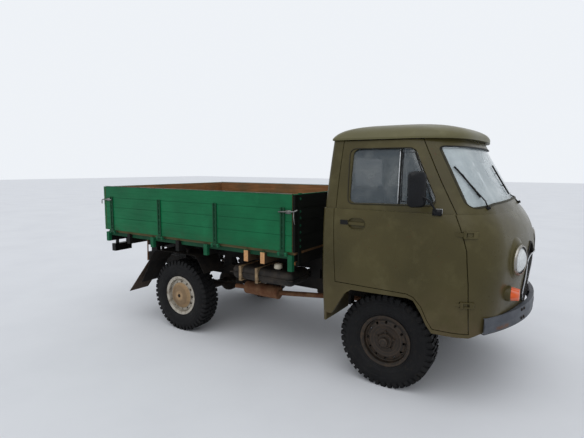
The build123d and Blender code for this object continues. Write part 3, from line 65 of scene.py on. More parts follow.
# The bright trim round the grille, as (y, z) from the top's middle down the left side
TRIM_HALF = ((0.0, 1.090), (0.16, 1.088), (0.285, 1.050), (0.312, 0.930), (0.336, 0.812), (0.283, 0.738))
# The bumper's bow: its radius and its foremost place
BOW_R, BOW_X = 1.68, SHIFT + 0.976


# Materials: each one is a node graph over the part's own coordinates
class Graph:
    def __init__(self, name):
        self.mat = bpy.data.materials.new(name)
        self.mat.use_nodes = True
        self.tree = self.mat.node_tree
        self.shader = self.tree.nodes["Principled BSDF"]
        self.shader.inputs["Specular IOR Level"].default_value = 0.2
        self.coords = self.tree.nodes.new("ShaderNodeTexCoord").outputs["Object"]
        split = self.node("ShaderNodeSeparateXYZ", {0: self.coords})
        self.x, self.y, self.z = split.outputs

    def node(self, kind, inputs=None, **settings):
        made = self.tree.nodes.new(kind)
        for key, value in settings.items():
            setattr(made, key, value)
        for key, value in (inputs or {}).items():
            if isinstance(value, bpy.types.NodeSocket):
                self.tree.links.new(value, made.inputs[key])
            else:
                made.inputs[key].default_value = value
        return made

    def noise(self, scale, detail=4, rough=0.6, stretch=(1, 1, 1)):
        moved = self.node("ShaderNodeMapping", {"Vector": self.coords, "Scale": stretch}).outputs[0]
        inputs = {"Vector": moved, "Scale": scale, "Detail": detail, "Roughness": rough}
        return self.node("ShaderNodeTexNoise", inputs).outputs["Fac"]

    def span(self, value, a, b, low=0.0, high=1.0):
        inputs = {"Value": value, "From Min": a, "From Max": b, "To Min": low, "To Max": high}
        return self.node("ShaderNodeMapRange", inputs).outputs[0]

    def math(self, kind, a, b=0.0):
        return self.node("ShaderNodeMath", {0: a, 1: b}, operation=kind).outputs[0]

    def times(self, a, b):
        return self.math("MULTIPLY", a, b)

    def mix(self, share, a, b):
        """Colour a, with colour b by its share; each is a link, or 0 to 255 on a screen."""
        a, b = (rgb(*c) if isinstance(c, tuple) else c for c in (a, b))
        made = self.node("ShaderNodeMix", {0: share, 6: a, 7: b}, data_type="RGBA")
        return made.outputs[2]

    def spots(self, base, spot, noise, low, high, most=1.0):
        """The base colour with the spots' colour where a noise is high."""
        return self.mix(self.span(self.noise(*noise), low, high, 0, most), base, spot)

    def near(self, value, centre, half, soft=0.002):
        """1 where value is within half of centre."""
        away = self.math("ABSOLUTE", self.math("SUBTRACT", value, centre))
        return self.span(away, half, half + soft, 1.0, 0.0)

    def bump(self, height, strength=0.3, distance=0.002, under=None):
        inputs = {"Height": height, "Strength": strength, "Distance": distance}
        if under is not None:
            inputs["Normal"] = under
        return self.node("ShaderNodeBump", inputs).outputs[0]

    def done(self, color=None, rough=None, normal=None, **fixed):
        for key, value in (("Base Color", color), ("Roughness", rough), ("Normal", normal)):
            if isinstance(value, bpy.types.NodeSocket):
                self.tree.links.new(value, self.shader.inputs[key])
            elif value is not None:
                self.shader.inputs[key].default_value = value
        for key, value in fixed.items():
            self.shader.inputs[key.replace("_", " ")].default_value = value
        return self.mat


def rgb(r, g, b):
    """A colour given as 0 to 255 on a screen, as the shader takes it."""
    def one(v):
        v /= 255
        return v / 12.92 if v <= 0.04045 else ((v + 0.055) / 1.055) ** 2.4
    return one(r), one(g), one(b), 1.0


def painted(name, base, pale, deep, dirt, dirt_top=0.95, gloss=0.38, rust=0.62):
    """Old brushed-on vehicle paint: uneven gloss, faded fields, road dirt low down, chips with rust."""
    g = Graph(name)
    fields = g.noise(1.6, 3, 0.55)
    color = g.mix(g.span(fields, 0.35, 0.7), deep, base)
    color = g.spots(color, pale, (6, 5, 0.65), 0.52, 0.8, 0.55)
    streaks = g.noise(9, 4, 0.6, (1, 1, 0.12))
    color = g.mix(g.span(streaks, 0.5, 0.8, 0, 0.28), color, deep)
    low = g.span(g.z, dirt_top, 0.45, 0, 1)
    dirty = g.times(low, g.span(g.noise(7, 6, 0.7), 0.3, 0.65))
    color = g.mix(g.times(dirty, 0.75), color, dirt)
    chips = g.span(g.noise(38, 8, 0.75), rust, rust + 0.03)
    chips = g.times(chips, g.span(g.noise(2.3, 3, 0.5), 0.5, 0.62))
    color = g.mix(chips, color, (84, 48, 28))
    rough = g.span(g.noise(3.1, 5, 0.7), 0.3, 0.75, gloss - 0.08, gloss + 0.14)
    rough = g.math("ADD", rough, g.times(dirty, 0.3))
    brush = g.noise(60, 3, 0.5)
    waves = g.noise(2.2, 2, 0.4)
    normal = g.bump(waves, 0.25, 0.02, g.bump(brush, 0.12, 0.0015))
    return g.done(color, rough, normal)


def worn_metal(name, base, dirt, metal=0.0, rough=0.6, spots=0.5, scale=14):
    g = Graph(name)
    color = g.mix(g.span(g.noise(scale, 7, 0.7), spots - 0.12, spots + 0.18), base, dirt)
    color = g.spots(color, dirt, (scale * 5, 5, 0.7), 0.55, 0.8, 0.5)
    grain = g.bump(g.noise(scale * 9, 6, 0.7), 0.35, 0.0015)
    rough = g.span(g.noise(scale * 2, 4, 0.6), 0.3, 0.7, rough - 0.12, rough + 0.15)
    return g.done(color, rough, grain, Metallic=metal)


def board_paint(name, along):
    """Green paint on planks: grain runs along the boards, gaps stay dark, and the inside is bare wood."""
    g = Graph(name)
    stretch = (0.06, 1, 1) if along == "x" else (1, 0.06, 1)
    grain = g.noise(70, 6, 0.65, stretch)
    base = g.spots((4, 88, 52), (10, 106, 64), (2.4, 4, 0.6), 0.35, 0.68)
    base = g.mix(g.span(grain, 0.48, 0.75, 0, 0.35), base, (4, 66, 40))
    base = g.spots(base, (28, 122, 78), (5.5, 6, 0.7, (1, 1, 0.4)), 0.58, 0.8, 0.45)
    knots = g.span(g.noise(17, 3, 0.5, (0.5, 0.5, 1)), 0.72, 0.78, 0, 0.7)
    base = g.mix(knots, base, (10, 48, 30))
    low = g.times(g.span(g.z, 1.16, 1.04), g.span(g.noise(9, 5, 0.7), 0.4, 0.7, 0, 0.5))
    base = g.mix(low, base, (52, 62, 40))
    wood = g.mix(g.span(grain, 0.38, 0.66), (148, 106, 68), (112, 78, 48))
    wood = g.spots(wood, (84, 82, 60), (4, 5, 0.6), 0.45, 0.75, 0.7)
    side = g.math("ABSOLUTE", g.y) if along == "x" else g.times(g.x, -1.0)
    face = BED_HALF if along == "x" else -BED_REAR
    strap = g.span(side, face + 0.0006, face + 0.0012)
    base = g.mix(strap, base, g.mix(g.noise(12, 4, 0.6), (8, 50, 30), (16, 70, 42)))
    inside = g.times(g.span(side, face - 0.0238, face - 0.0248),
                    g.span(g.z, BOARD_HIGH - 0.004, BOARD_HIGH - 0.007))
    color = g.mix(inside, base, wood)
    normal = g.bump(grain, 0.35, 0.002, g.bump(g.noise(3, 3, 0.5), 0.2, 0.01))
    return g.done(color, g.span(grain, 0.3, 0.7, 0.42, 0.62), normal)


def floor_planks(name, a, b, dirt):
    """Worn planks along the bed, painted green on their ends and outer edges."""
    g = Graph(name)
    grain = g.noise(60, 6, 0.65, (0.06, 1, 1))
    color = g.mix(g.span(grain, 0.36, 0.68), a, b)
    color = g.spots(color, dirt, (3.2, 6, 0.7), 0.4, 0.75, 0.8)
    outer = g.span(g.math("ABSOLUTE", g.y), BED_HALF - 0.034, BED_HALF - 0.028)
    color = g.mix(outer, color, (9, 74, 45))
    color = g.mix(g.span(g.x, BED_REAR + 0.034, BED_REAR + 0.028), color, (9, 74, 45))
    return g.done(color, 0.78, g.bump(grain, 0.4, 0.002))


def tyre_rubber():
    """Black rubber greyed by road dirt, with mud in the tread."""
    g = Graph("tyre_rubber")
    color = g.spots((12, 12, 14), (26, 26, 26), (6, 6, 0.7), 0.4, 0.75)
    out = g.noise(30, 7, 0.75)
    color = g.mix(g.span(out, 0.54, 0.7, 0, 0.6), color, (46, 42, 38))
    return g.done(color, g.span(out, 0.3, 0.7, 0.55, 0.85), g.bump(g.noise(120, 4, 0.7), 0.3, 0.0012))


def clear_glass(name, tint, rough=0.03, alpha=0.24):
    g = Graph(name)
    dust = g.span(g.noise(4, 6, 0.7), 0.45, 0.8, 0.0, 0.25)
    color = g.mix(dust, tint, (190, 190, 182))
    see = g.math("ADD", dust, alpha)
    g.tree.links.new(see, g.shader.inputs["Alpha"])
    return g.done(color, rough, None, IOR=1.5, Specular_IOR_Level=0.6)


def lamp_lens(name, color, lines=110.0, rough=0.12, pale=0.35, **fixed):
    """Moulded lens with upright flutes over a bright bowl."""
    g = Graph(name)
    wave = g.math("SINE", g.times(g.y, lines * 6.283))
    cross = g.math("SINE", g.times(g.z, lines * 2.1))
    tone = g.mix(g.span(wave, -1, 1, 0.0, pale), color, (255, 255, 255))
    tone = g.mix(g.span(g.noise(14, 4, 0.6), 0.45, 0.7, 0, pale), tone, (150, 152, 150))
    return g.done(tone, rough, g.bump(g.math("ADD", wave, cross), 0.35, 0.003), **fixed)


def headboard_material():
    """Nearly black painted shade on the face towards the cab, bare planks towards the load, and a green top
    edge.
    """
    g = Graph("head_planks_painted_shade")
    grain = g.noise(70, 6, 0.65, (1, 0.06, 1))
    dark = g.mix(g.span(grain, 0.4, 0.7), (9, 12, 9), (20, 22, 17))
    wood = g.mix(g.span(grain, 0.38, 0.66), (166, 112, 66), (120, 78, 44))
    # painted shade: all but the face towards the load is nearly black
    color = g.mix(g.span(g.x, BED_FRONT - 0.0235, BED_FRONT - 0.0245), dark, wood)
    color = g.mix(g.span(g.z, BOARD_HIGH - 0.007, BOARD_HIGH - 0.004), color, (10, 84, 50))
    return g.done(color, 0.6, g.bump(grain, 0.35, 0.002), Specular_IOR_Level=0.1)


def chrome_with_rust():
    """Bright plating, pitted, with rust along the lower edge."""
    g = Graph("lamp_chrome")
    spots = g.noise(60, 6, 0.7)
    low = g.span(g.z, 1.045, 1.010)
    share = g.times(g.math("ADD", low, 0.12), g.span(spots, 0.40, 0.58))
    color = g.mix(share, (150, 148, 142), (104, 58, 34))
    g.tree.links.new(g.span(share, 0.0, 0.6, 0.95, 0.1), g.shader.inputs["Metallic"])
    return g.done(color, g.span(share, 0.0, 0.6, 0.16, 0.8), g.bump(spots, 0.2, 0.0008))


def tail_lamp_material():
    """Dark red lenses on black housings."""
    g = Graph("tail_lamps_mixed")
    red = g.spots((92, 12, 10), (52, 10, 8), (30, 5, 0.6), 0.4, 0.7)
    color = g.mix(g.span(g.x, BED_REAR - 0.0145, BED_REAR - 0.0135), red, (16, 15, 15))
    return g.done(color, 0.4)


def rim_material(name, x, paint, worn, disc, rings):
    """A wheel in the solid's own coordinates: rim ring, slots' shade, and the disc or cap."""
    g = Graph(name)
    dx, dz = g.math("SUBTRACT", g.x, x), g.math("SUBTRACT", g.z, HUB_Z)
    r = g.math("SQRT", g.math("ADD", g.times(dx, dx), g.times(dz, dz)))
    depth = g.math("SUBTRACT", g.math("ABSOLUTE", g.y), HALF_TRACK)
    dirt = g.span(g.noise(18, 7, 0.7), 0.46, 0.74)
    outer = g.mix(dirt, paint, worn)
    inner = g.mix(g.times(dirt, 0.6), disc, worn)
    color = g.mix(g.span(r, 0.1375, 0.1385), inner, outer)
    lines = g.math("SINE", g.times(r, rings))
    color = g.mix(g.span(lines, 0.72, 0.95, 0, 0.55), color, worn)
    inside = g.times(g.span(depth, 0.036, 0.028), g.span(r, 0.178, 0.172))
    color = g.mix(inside, color, (16, 14, 13))
    grain = g.bump(g.noise(160, 5, 0.7), 0.3, 0.001)
    return g.done(color, g.span(dirt, 0, 1, 0.45, 0.75), grain)


def seat_vinyl():
    g = Graph("seat_vinyl")
    cell = g.node("ShaderNodeTexVoronoi", {"Vector": g.coords, "Scale": 420.0},
                  feature="DISTANCE_TO_EDGE").outputs[0]
    color = g.spots((46, 40, 34), (66, 56, 46), (5, 5, 0.6), 0.4, 0.7)
    color = g.spots(color, (96, 84, 70), (26, 6, 0.7), 0.6, 0.75, 0.5)
    return g.done(color, g.span(g.noise(9, 4, 0.6), 0.3, 0.7, 0.42, 0.6), g.bump(cell, 0.4, 0.0008))


def plain_plastic(name, color, pale, rough=0.5):
    g = Graph(name)
    tone = g.spots(color, pale, (8, 6, 0.7), 0.42, 0.78, 0.7)
    return g.done(tone, g.span(g.noise(20, 4, 0.6), 0.3, 0.7, rough - 0.1, rough + 0.12),
                  g.bump(g.noise(220, 4, 0.6), 0.2, 0.0006))


def bumper_material():
    """Grey paint with a long rust patch near the right end, and painted shade that leaves the underside
    nearly black.
    """
    g = Graph("bumper_paint")
    color = g.spots((66, 69, 76), (84, 88, 94), (5, 5, 0.65), 0.4, 0.7)
    color = g.spots(color, (44, 44, 46), (30, 6, 0.7), 0.56, 0.72, 0.6)
    patch_y, patch_z = -0.685, 0.636
    patch = g.times(g.near(g.y, patch_y, 0.055, 0.03), g.near(g.z, patch_z, 0.007, 0.012))
    patch = g.times(patch, g.span(g.noise(40, 6, 0.7), 0.38, 0.52))
    color = g.mix(patch, color, (92, 62, 44))
    # painted shade: nearly black below the face
    color = g.mix(g.span(g.z, 0.618, 0.612), color, (24, 23, 23))
    rough = g.span(g.noise(9, 5, 0.7), 0.3, 0.7, 0.35, 0.55)
    return g.done(color, rough, g.bump(g.noise(70, 4, 0.6), 0.2, 0.001))


def gasket_material():
    """Rubber painted over with the cab, with a black painted shadow of the roof's lip along the top."""
    g = Graph("window_seals_painted_shadow")
    color = g.spots((52, 49, 34), (38, 36, 27), (20, 5, 0.6), 0.4, 0.7)
    # painted shadow: black along the top, where the roof's lip shades the windscreen
    color = g.mix(g.span(g.z, 1.885, 1.905), color, (14, 14, 14))
    return g.done(color, 0.6, g.bump(g.noise(90, 4, 0.6), 0.2, 0.0008))


def bed_frame_material():
    """Green steel and beams, two bearers left as raw wood, as in the photograph; painted shade leaves the
    sides nearly black and green only at the outer ends, the raw bearers' sides dark brown, and everything low
    down nearly black.
    """
    g = Graph("bed_frame_painted_shade")
    grain = g.noise(60, 6, 0.65, (1, 0.06, 1))
    wood = g.mix(g.span(grain, 0.36, 0.68), (206, 160, 112), (176, 124, 82))
    green = g.spots((12, 78, 50), (26, 98, 64), (5, 5, 0.65), 0.4, 0.7)
    dark = g.spots((12, 12, 11), (26, 22, 18), (8, 5, 0.65), 0.4, 0.7)
    # painted shade: the sides are nearly black and only the outer ends green; two bearers are dark at their
    # ends too
    outer = g.span(g.math("ABSOLUTE", g.y), 0.945, 0.95)
    for x in DARK_BEARERS:
        outer = g.times(outer, g.math("SUBTRACT", 1.0, g.near(g.x, x, 0.024)))
    color = g.mix(outer, dark, green)
    raw = g.math("ADD", *[g.near(g.x, x, 0.023) for x in RAW_BEARERS])
    raw = g.times(raw, g.span(g.z, 1.018, 1.014))
    # painted shade: the raw bearers' sides are dark brown, their ends bare wood
    wood = g.mix(g.span(g.math("ABSOLUTE", g.y), 0.978, 0.980), (64, 50, 36), wood)
    color = g.mix(raw, color, wood)
    # painted shade: everything low under the bed is nearly black
    low = g.span(g.z, 0.875, 0.870)
    color = g.mix(low, color, dark)
    return g.done(color, 0.62, g.bump(grain, 0.3, 0.0015))


def tank_material():
    """Dirty black tank with tan straps."""
    g = Graph("tank_mixed")
    dark = g.spots((30, 29, 28), (66, 58, 50), (7, 7, 0.7), 0.42, 0.7)
    strap = g.spots((150, 128, 98), (98, 80, 60), (20, 5, 0.7), 0.4, 0.7)
    bands = g.math("ADD", *[g.near(g.x, x, 0.0152, 0.0004) for x in TANK_STRAPS])
    outer = g.math("GREATER_THAN", g.z, 0.694)
    color = g.mix(g.times(bands, outer), dark, strap)
    return g.done(color, 0.6, g.bump(g.noise(90, 5, 0.7), 0.3, 0.0012))


MUD, BED_DIRT = (92, 78, 58), (56, 52, 36)
olive = painted("olive_paint", (78, 71, 42), (96, 90, 60), (64, 58, 33), MUD, 0.95, 0.30)
roof_olive = painted("roof_paint", (104, 100, 70), (128, 124, 92), (90, 86, 60), MUD)
steel_green = painted("bed_steel_paint", (14, 82, 52), (30, 104, 70), (8, 60, 40), BED_DIRT, 1.0)
frame_black = worn_metal("frame_black", (15, 14, 14), (38, 33, 28), 0.0, 0.72, 0.5)
iron = worn_metal("dirty_iron", (26, 24, 22), (54, 43, 33), 0.1, 0.72, 0.48)
rusty = worn_metal("rusty_steel", (96, 60, 40), (132, 100, 74), 0.15, 0.8, 0.5)
rim_rusty = rim_material("rim_rusty", FRONT_X, (40, 36, 32), (74, 60, 48), (46, 40, 35), 260.0)
rim_cream = rim_material("rim_cream", REAR_X, (176, 170, 158), (96, 80, 62), (164, 136, 102), 20.0)
cream = worn_metal("cream_paint", (206, 192, 158), (128, 104, 74), 0.0, 0.5, 0.66)
chrome = worn_metal("dull_chrome", (188, 190, 192), (120, 112, 102), 0.9, 0.28, 0.66, 30)
steel = worn_metal("bare_steel", (128, 128, 126), (92, 84, 74), 0.8, 0.42, 0.6, 26)
side_planks = board_paint("side_planks", "x")
tail_planks = board_paint("tail_planks", "y")
floor_wood = floor_planks("floor_wood", (150, 112, 74), (112, 80, 52), (88, 78, 64))
lamp_chrome = chrome_with_rust()
rubber = tyre_rubber()
vinyl = seat_vinyl()
bumper_grey = bumper_material()
black_rubber_and_gap_shade = plain_plastic("black_rubber_and_gap_shade", (16, 16, 16), (34, 33, 32), 0.6)
channel_brown = plain_plastic("channel_brown", (40, 37, 27), (58, 54, 40), 0.6)
plastic = plain_plastic("dark_plastic", (28, 29, 32), (56, 56, 58), 0.5)
mirror_black = plain_plastic("mirror_black", (11, 12, 15), (22, 24, 29), 0.3)
dash_paint = plain_plastic("dash_paint", (52, 52, 44), (78, 76, 64), 0.5)
flap_rubber = plain_plastic("flap_rubber", (60, 48, 38), (96, 78, 62), 0.7)
lid_cream = plain_plastic("lid_cream", (214, 206, 186), (168, 156, 130), 0.5)
screen_glass = clear_glass("screen_glass", (214, 226, 230), 0.03, 0.42)
door_pane = clear_glass("door_pane", (66, 76, 82), 0.04, 0.62)
headlamp_lens = lamp_lens("headlamp_lens", (206, 210, 210), 70.0, 0.1, Coat_Weight=0.6)
amber = lamp_lens("amber_lens", (224, 88, 22), 60.0, 0.3, 0.12)
# Each material with the nodes that have it; tyres, mirrors and seats are replaced below
LOOKS = (
    (olive, "cab_front_panel cab_side_left cab_side_right cab_rear_wall cab_floor engine_cover"),
    (olive, "door_left door_right"),
    (roof_olive, "cab_roof"),
    (bed_frame_material(), "bed_frame"),
    (floor_wood, "bed_floor"),
    (headboard_material(), "headboard"),
    (side_planks, "side_board_left side_board_right"),
    (tail_planks, "tailboard"),
    (bumper_grey, "front_bumper"),
    (tank_material(), "fuel_tank"),
    (frame_black, "chassis_frame crossmembers radiator rear_mudguards seat_frames shock_absorbers grille"),
    (frame_black, "steering_column"),
    (iron, "engine gearbox front_axle rear_axle knuckle_left knuckle_right leaf_springs track_rod"),
    (iron, "propeller_shafts tow_hitch"),
    (rusty, "exhaust"),
    (cream, "filler_cap"),
    (dash_paint, "dashboard"),
    (black_rubber_and_gap_shade, "cab_mounts"),
    (headlamp_lens, "headlamps"),
    (amber, "turn_signals"),
    (tail_lamp_material(), "tail_lamps"),
    (plastic, "steering_wheel"),
    (gasket_material(), "window_gaskets"),
    (screen_glass, "cab_glass"),
    (door_pane, "door_glass_left door_glass_right"),
    (rim_rusty, "rim_front_left rim_front_right"),
    (rim_cream, "rim_rear_left rim_rear_right"),
)
for look, names in LOOKS:
    for name in names.split():
        slots = nodes[name].data.materials
        for i in range(len(slots)):
            slots[i] = look
        if not len(slots):
            slots.append(look)


# Mesh tools. A block's faces fit corners that count up in z first, then y, then x
BLOCK_FACES = [(0, 1, 3, 2), (4, 6, 7, 5), (0, 4, 5, 1), (2, 3, 7, 6), (0, 2, 6, 4), (1, 5, 7, 3)]


def between(rows, n, round_rows=False, round_points=False):
    """The faces between rows of n points; the rows, the points in them or both may close round."""
    faces = []
    for i in range(rows if round_rows else rows - 1):
        j = (i + 1) % rows
        for k in range(n if round_points else n - 1):
            m = (k + 1) % n
            faces.append((i * n + k, i * n + m, j * n + m, j * n + k))
    return faces


def raw_object(name, verts, faces):
    mesh = bpy.data.meshes.new(name)
    mesh.from_pydata([tuple(v) for v in verts], [], faces)
    obj = bpy.data.objects.new(name, mesh)
    scene.collection.objects.link(obj)
    return obj


def made(name, verts, faces, look, body, slot, smooth=False, bevel=0.0):
    """A finished piece: its doubled points joined, its faces turned out, and riding on its body."""
    obj = raw_object(name, verts, faces)
    mesh = obj.data
    mesh.materials.append(look)
    work = bmesh.new()
    work.from_mesh(mesh)
    bmesh.ops.remove_doubles(work, verts=work.verts, dist=1e-6)
    bmesh.ops.recalc_face_normals(work, faces=work.faces)
    if bevel:
        sharp = [e for e in work.edges if e.calc_face_angle(0) > 0.6]
        bmesh.ops.bevel(work, geom=sharp, offset=bevel, segments=2, affect="EDGES", profile=0.6)
    work.to_mesh(mesh)
    work.free()
    for face in mesh.polygons:
        face.use_smooth = smooth
    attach(obj, body)
    return obj


class Shape:
    """Vertices and faces gathered from simple forms, to become one piece."""

    def __init__(self):
        self.verts, self.faces = [], []

    def put(self, verts, faces, place=None):
        start = len(self.verts)
        self.verts += [place @ Vector(v) if place else Vector(v) for v in verts]
        self.faces += [tuple(start + i for i in f) for f in faces]
        return self

    def block(self, centre, size, turn=None):
        cx, cy, cz = (s / 2 for s in size)
        corners = [(x, y, z) for x in (-cx, cx) for y in (-cy, cy) for z in (-cz, cz)]
        place = Matrix.Translation(centre) @ (turn.to_4x4() if turn else Matrix.Identity(4))
        return self.put(corners, BLOCK_FACES, place)

    def lathe(self, profile, place, steps=48, closed=False):
        """Turns (radius, height) points about the local Z axis."""
        verts = []
        for i in range(steps):
            a = tau * i / steps
            verts += [(r * cos(a), r * sin(a), h) for r, h in profile]
        return self.put(verts, between(steps, len(profile), True, closed), place)

    def tube(self, points, radius, sides=10, close=False):
        points = [Vector(p) for p in points]
        rings, n = [], len(points)
        for i, p in enumerate(points):
            before = points[i - 1] if (i or close) else p
            after = points[(i + 1) % n] if (i < n - 1 or close) else p
            along = (after - before).normalized()
            up = Vector((0, 0, 1)) if abs(along.z) < 0.9 else Vector((1, 0, 0))
            a = along.cross(up).normalized()
            b = along.cross(a).normalized()
            rings.append([p + a * radius * cos(t) + b * radius * sin(t)
                          for t in (tau * k / sides for k in range(sides))])
        faces = between(n, sides, close, True)
        if not close:
            faces.append(tuple(range(sides)))
            faces.append(tuple((n - 1) * sides + k for k in range(sides)))
        return self.put([v for ring in rings for v in ring], faces)

    def bolt(self, centre, out, radius=0.008, height=0.006, sides=6):
        """A bolt head on a washer, standing out along a direction."""
        place = Matrix.Translation(centre) @ facing(out)
        self.lathe([(0, 0.0015), (radius * 1.45, 0.0015), (radius * 1.45, -0.002)], place, 20)
        head = [(0, height), (radius * 0.85, height), (radius, height * 0.8), (radius, 0)]
        return self.lathe(head, place, sides)

    def done(self, name, look, body, slot, smooth=False, bevel=0.0):
        return made(name, self.verts, self.faces, look, body, slot, smooth, bevel)


def facing(axis):
    """A turn that brings the local Z axis to this direction."""
    return Vector(axis).to_track_quat("Z", "Y").to_matrix().to_4x4()


def tipped(degrees):
    """A turn about the Y axis, for blocks."""
    return Euler((0, radians(degrees), 0)).to_matrix()


def smooth_line(points, steps=8, close=False):
    """Points on a smooth curve through the given ones."""
    pts = [Vector(p) for p in points]
    n = len(pts)
    out = []
    for i in range(n if close else n - 1):
        p0 = pts[i - 1] if (i or close) else pts[0]
        p1, p2 = pts[i], pts[(i + 1) % n]
        p3 = pts[(i + 2) % n] if (i + 2 < n or close) else pts[-1]
        for k in range(steps):
            t = k / steps
            out.append(0.5 * ((2 * p1) + (p2 - p0) * t + (2 * p0 - 5 * p1 + 4 * p2 - p3) * t ** 2
                              + (3 * p1 - p0 - 3 * p2 + p3) * t ** 3))
    if not close:
        out.append(pts[-1])
    return out


def tree_of(*names):
    verts, faces = [], []
    for name in names:
        mesh = nodes[name].data
        start = len(verts)
        verts += [v.co.copy() for v in mesh.vertices]
        faces += [tuple(start + i for i in f.vertices) for f in mesh.polygons]
    return BVHTree.FromPolygons(verts, faces)


CAB = tree_of("cab_front_panel", "cab_side_left", "cab_side_right", "cab_rear_wall", "door_left",
              "door_right", "cab_glass", "cab_roof", "window_gaskets", "door_glass_right", "door_glass_left")


def on_cab(start, along, off):
    """Where a ray meets the cab, moved out by off, or None where it misses."""
    hit, normal, _, _ = CAB.ray_cast(start, along)
    if hit is None:
        return None
    return hit + (normal if normal.dot(along) < 0 else -normal) * off


def on_side(x, z, s, off=0.0):
    """The point of the cab's right (s -1) or left (s 1) side at x and z."""
    return on_cab(Vector((x, s * 3, z)), Vector((0, -s, 0)), off)


def on_front(y, z, off=0.0):
    """The point of the cab's front at y and z."""
    return on_cab(Vector((4, y, z)), Vector((-1, 0, 0)), off)


# The camera, at the photograph's place
camera = bpy.data.objects.new("camera", bpy.data.cameras.new("camera"))
scene.collection.objects.link(camera)
scene.camera = camera
camera.data.lens = FOCAL / PHOTO_W * SENSOR_MM
camera.data.sensor_width = SENSOR_MM
camera.data.clip_end = 200
aim = Euler((radians(90 + PITCH), 0, radians(YAW))).to_matrix().to_4x4()
camera.matrix_world = Matrix.Translation(EYE) @ aim @ Matrix.Rotation(radians(ROLL), 4, "Z")


def on_ring(radius, angle, height):
    """A point at this angle on a circle about the local Z axis."""
    return Vector((radius * cos(angle), radius * sin(angle), height))


def tyre(body, node, place):
    """The tyre's own form with ribs and blocks, in place of the node's plainer one."""
    half = [(0.207, 0.078), (0.214, 0.084), (0.222, 0.0905), (0.226, 0.0905), (0.232, 0.096), (0.248, 0.103),
            (0.252, 0.1045), (0.256, 0.1035), (0.275, 0.107), (0.296, 0.1065), (0.300, 0.108), (0.306, 0.106),
            (0.322, 0.103), (0.336, 0.0975), (0.345, 0.0925), (0.360, 0.087), (0.369, 0.079), (0.3705, 0.060),
            (0.371, 0.030)]
    shoulder = [(0.333, 0.0995), (0.350, 0.1005), (0.372, 0.0965), (0.3815, 0.090), (0.3818, 0.040),
                (0.366, 0.038)]
    shape = Shape().lathe(half + [(r, -h) for r, h in reversed(half)], place, 88)
    count, n = 44, len(shoulder)
    for i in range(count):
        wide = 0.0175 if i % 2 else 0.0145
        for flip, shift in ((1, 0), (-1, 0.5)):
            ring = [(r, w * (1.0 if r > 0.34 else 0.8), h * flip) for w in (-wide, wide) for r, h in shoulder]
            faces = [tuple(range(n)), tuple(range(n, 2 * n))]
            faces += [(k, (k + 1) % n, n + (k + 1) % n, n + k) for k in range(n)]
            shape.put(ring, faces, place @ Matrix.Rotation(tau * (i + shift) / count, 4, "Z"))
        for h0, h1, skew in ((-0.033, -0.003, 0.006), (0.003, 0.033, -0.006)):
            edges = ((-0.0165 + skew, h0), (0.0125 + skew, h0), (0.0165 - skew, h1), (-0.0125 - skew, h1))
            ring = [(r, *edge) for r in (0.366, 0.3818) for edge in edges]
            faces = [(0, 1, 2, 3), (4, 5, 6, 7), (0, 1, 5, 4), (1, 2, 6, 5), (2, 3, 7, 6), (3, 0, 4, 7)]
            shape.put(ring, faces, place @ Matrix.Rotation(tau * (i + 0.25) / count, 4, "Z"))
    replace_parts(shape.done(body + "_tyre", rubber, body, "tyre"), node)


def front_hub(body, s, place):
    """Wheel nuts, the drive flange's bolts, the hub's cap, and the rim's bead."""
    nuts = Shape()
    for i in range(5):
        nuts.bolt(place @ on_ring(0.0699, tau * i / 5 + 0.3, 0.0605), (0, s, 0), 0.0115, 0.016)
    for i in range(6):
        nuts.bolt(place @ on_ring(0.050, tau * i / 6, 0.0865), (0, s, 0), 0.0055, 0.005)
    nuts.lathe([(0.036, 0.088), (0.0385, 0.100), (0.036, 0.112), (0.030, 0.124), (0.0235, 0.129),
                (0.0, 0.1295)], place, 32)
    nuts.lathe([(0.166, 0.053), (0.170, 0.0555), (0.176, 0.0545)], place, 64)
    nuts.done(body + "_hub", rim_rusty, body, "wheel_rust")


def rear_cap(body, s, place):
    """The hub cap's middle mark and its two rings."""
    mark = Shape().lathe([(0.017, 0.1021), (0.0165, 0.1045), (0.009, 0.1055), (0.0, 0.1055)], place, 24)
    for i in range(6):
        mark.bolt(place @ on_ring(0.0195, tau * i / 6, 0.1022), (0, s, 0), 0.0022, 0.002)
    mark.done(body + "_cap_mark", frame_black, body, "iron")
    ring = Shape().lathe([(0.112, 0.0938), (0.1145, 0.0945), (0.117, 0.0915)], place, 64)
    ring.lathe([(0.1345, 0.0725), (0.139, 0.0715), (0.141, 0.0668), (0.138, 0.0655)], place, 64)
    ring.done(body + "_cap_ring", rim_cream, body, "wheel_cream", True)


# Wheels
for axle, x, hub in (("front", FRONT_X, front_hub), ("rear", REAR_X, rear_cap)):
    for side, s in SIDES:
        body = f"wheel_{axle}_{side}"
        place = Matrix.Translation((x, s * HALF_TRACK, HUB_Z)) @ facing((0, s, 0))
        tyre(body, f"tyre_{axle}_{side}", place)
        hub(body, s, place)
        stem = [place @ Vector(p) for p in ((0.158, 0.0, 0.056), (0.166, 0.0, 0.070), (0.170, 0.0, 0.088))]
        Shape().tube(stem, 0.004).done(body + "_valve", black_rubber_and_gap_shade, body, "rubber", True)


def rounded(points, radius, steps=6):
    """A polygon in x and z with round corners, as a closed list of points."""
    out = []
    n = len(points)
    for i in range(n):
        p, a, b = Vector(points[i]), Vector(points[i - 1]), Vector(points[(i + 1) % n])
        u, v = (a - p).normalized(), (b - p).normalized()
        reach = radius / tan(u.angle(v) / 2)
        start, end = p + u * reach, p + v * reach
        for k in range(steps + 1):
            t = k / steps
            out.append((start * (1 - t) + p * t) * (1 - t) + (p * (1 - t) + end * t) * t)
    dense = []
    for i, p in enumerate(out):
        q = out[(i + 1) % len(out)]
        cuts = max(1, int((q - p).length / 0.03))
        dense += [p + (q - p) * k / cuts for k in range(cuts)]
    return dense


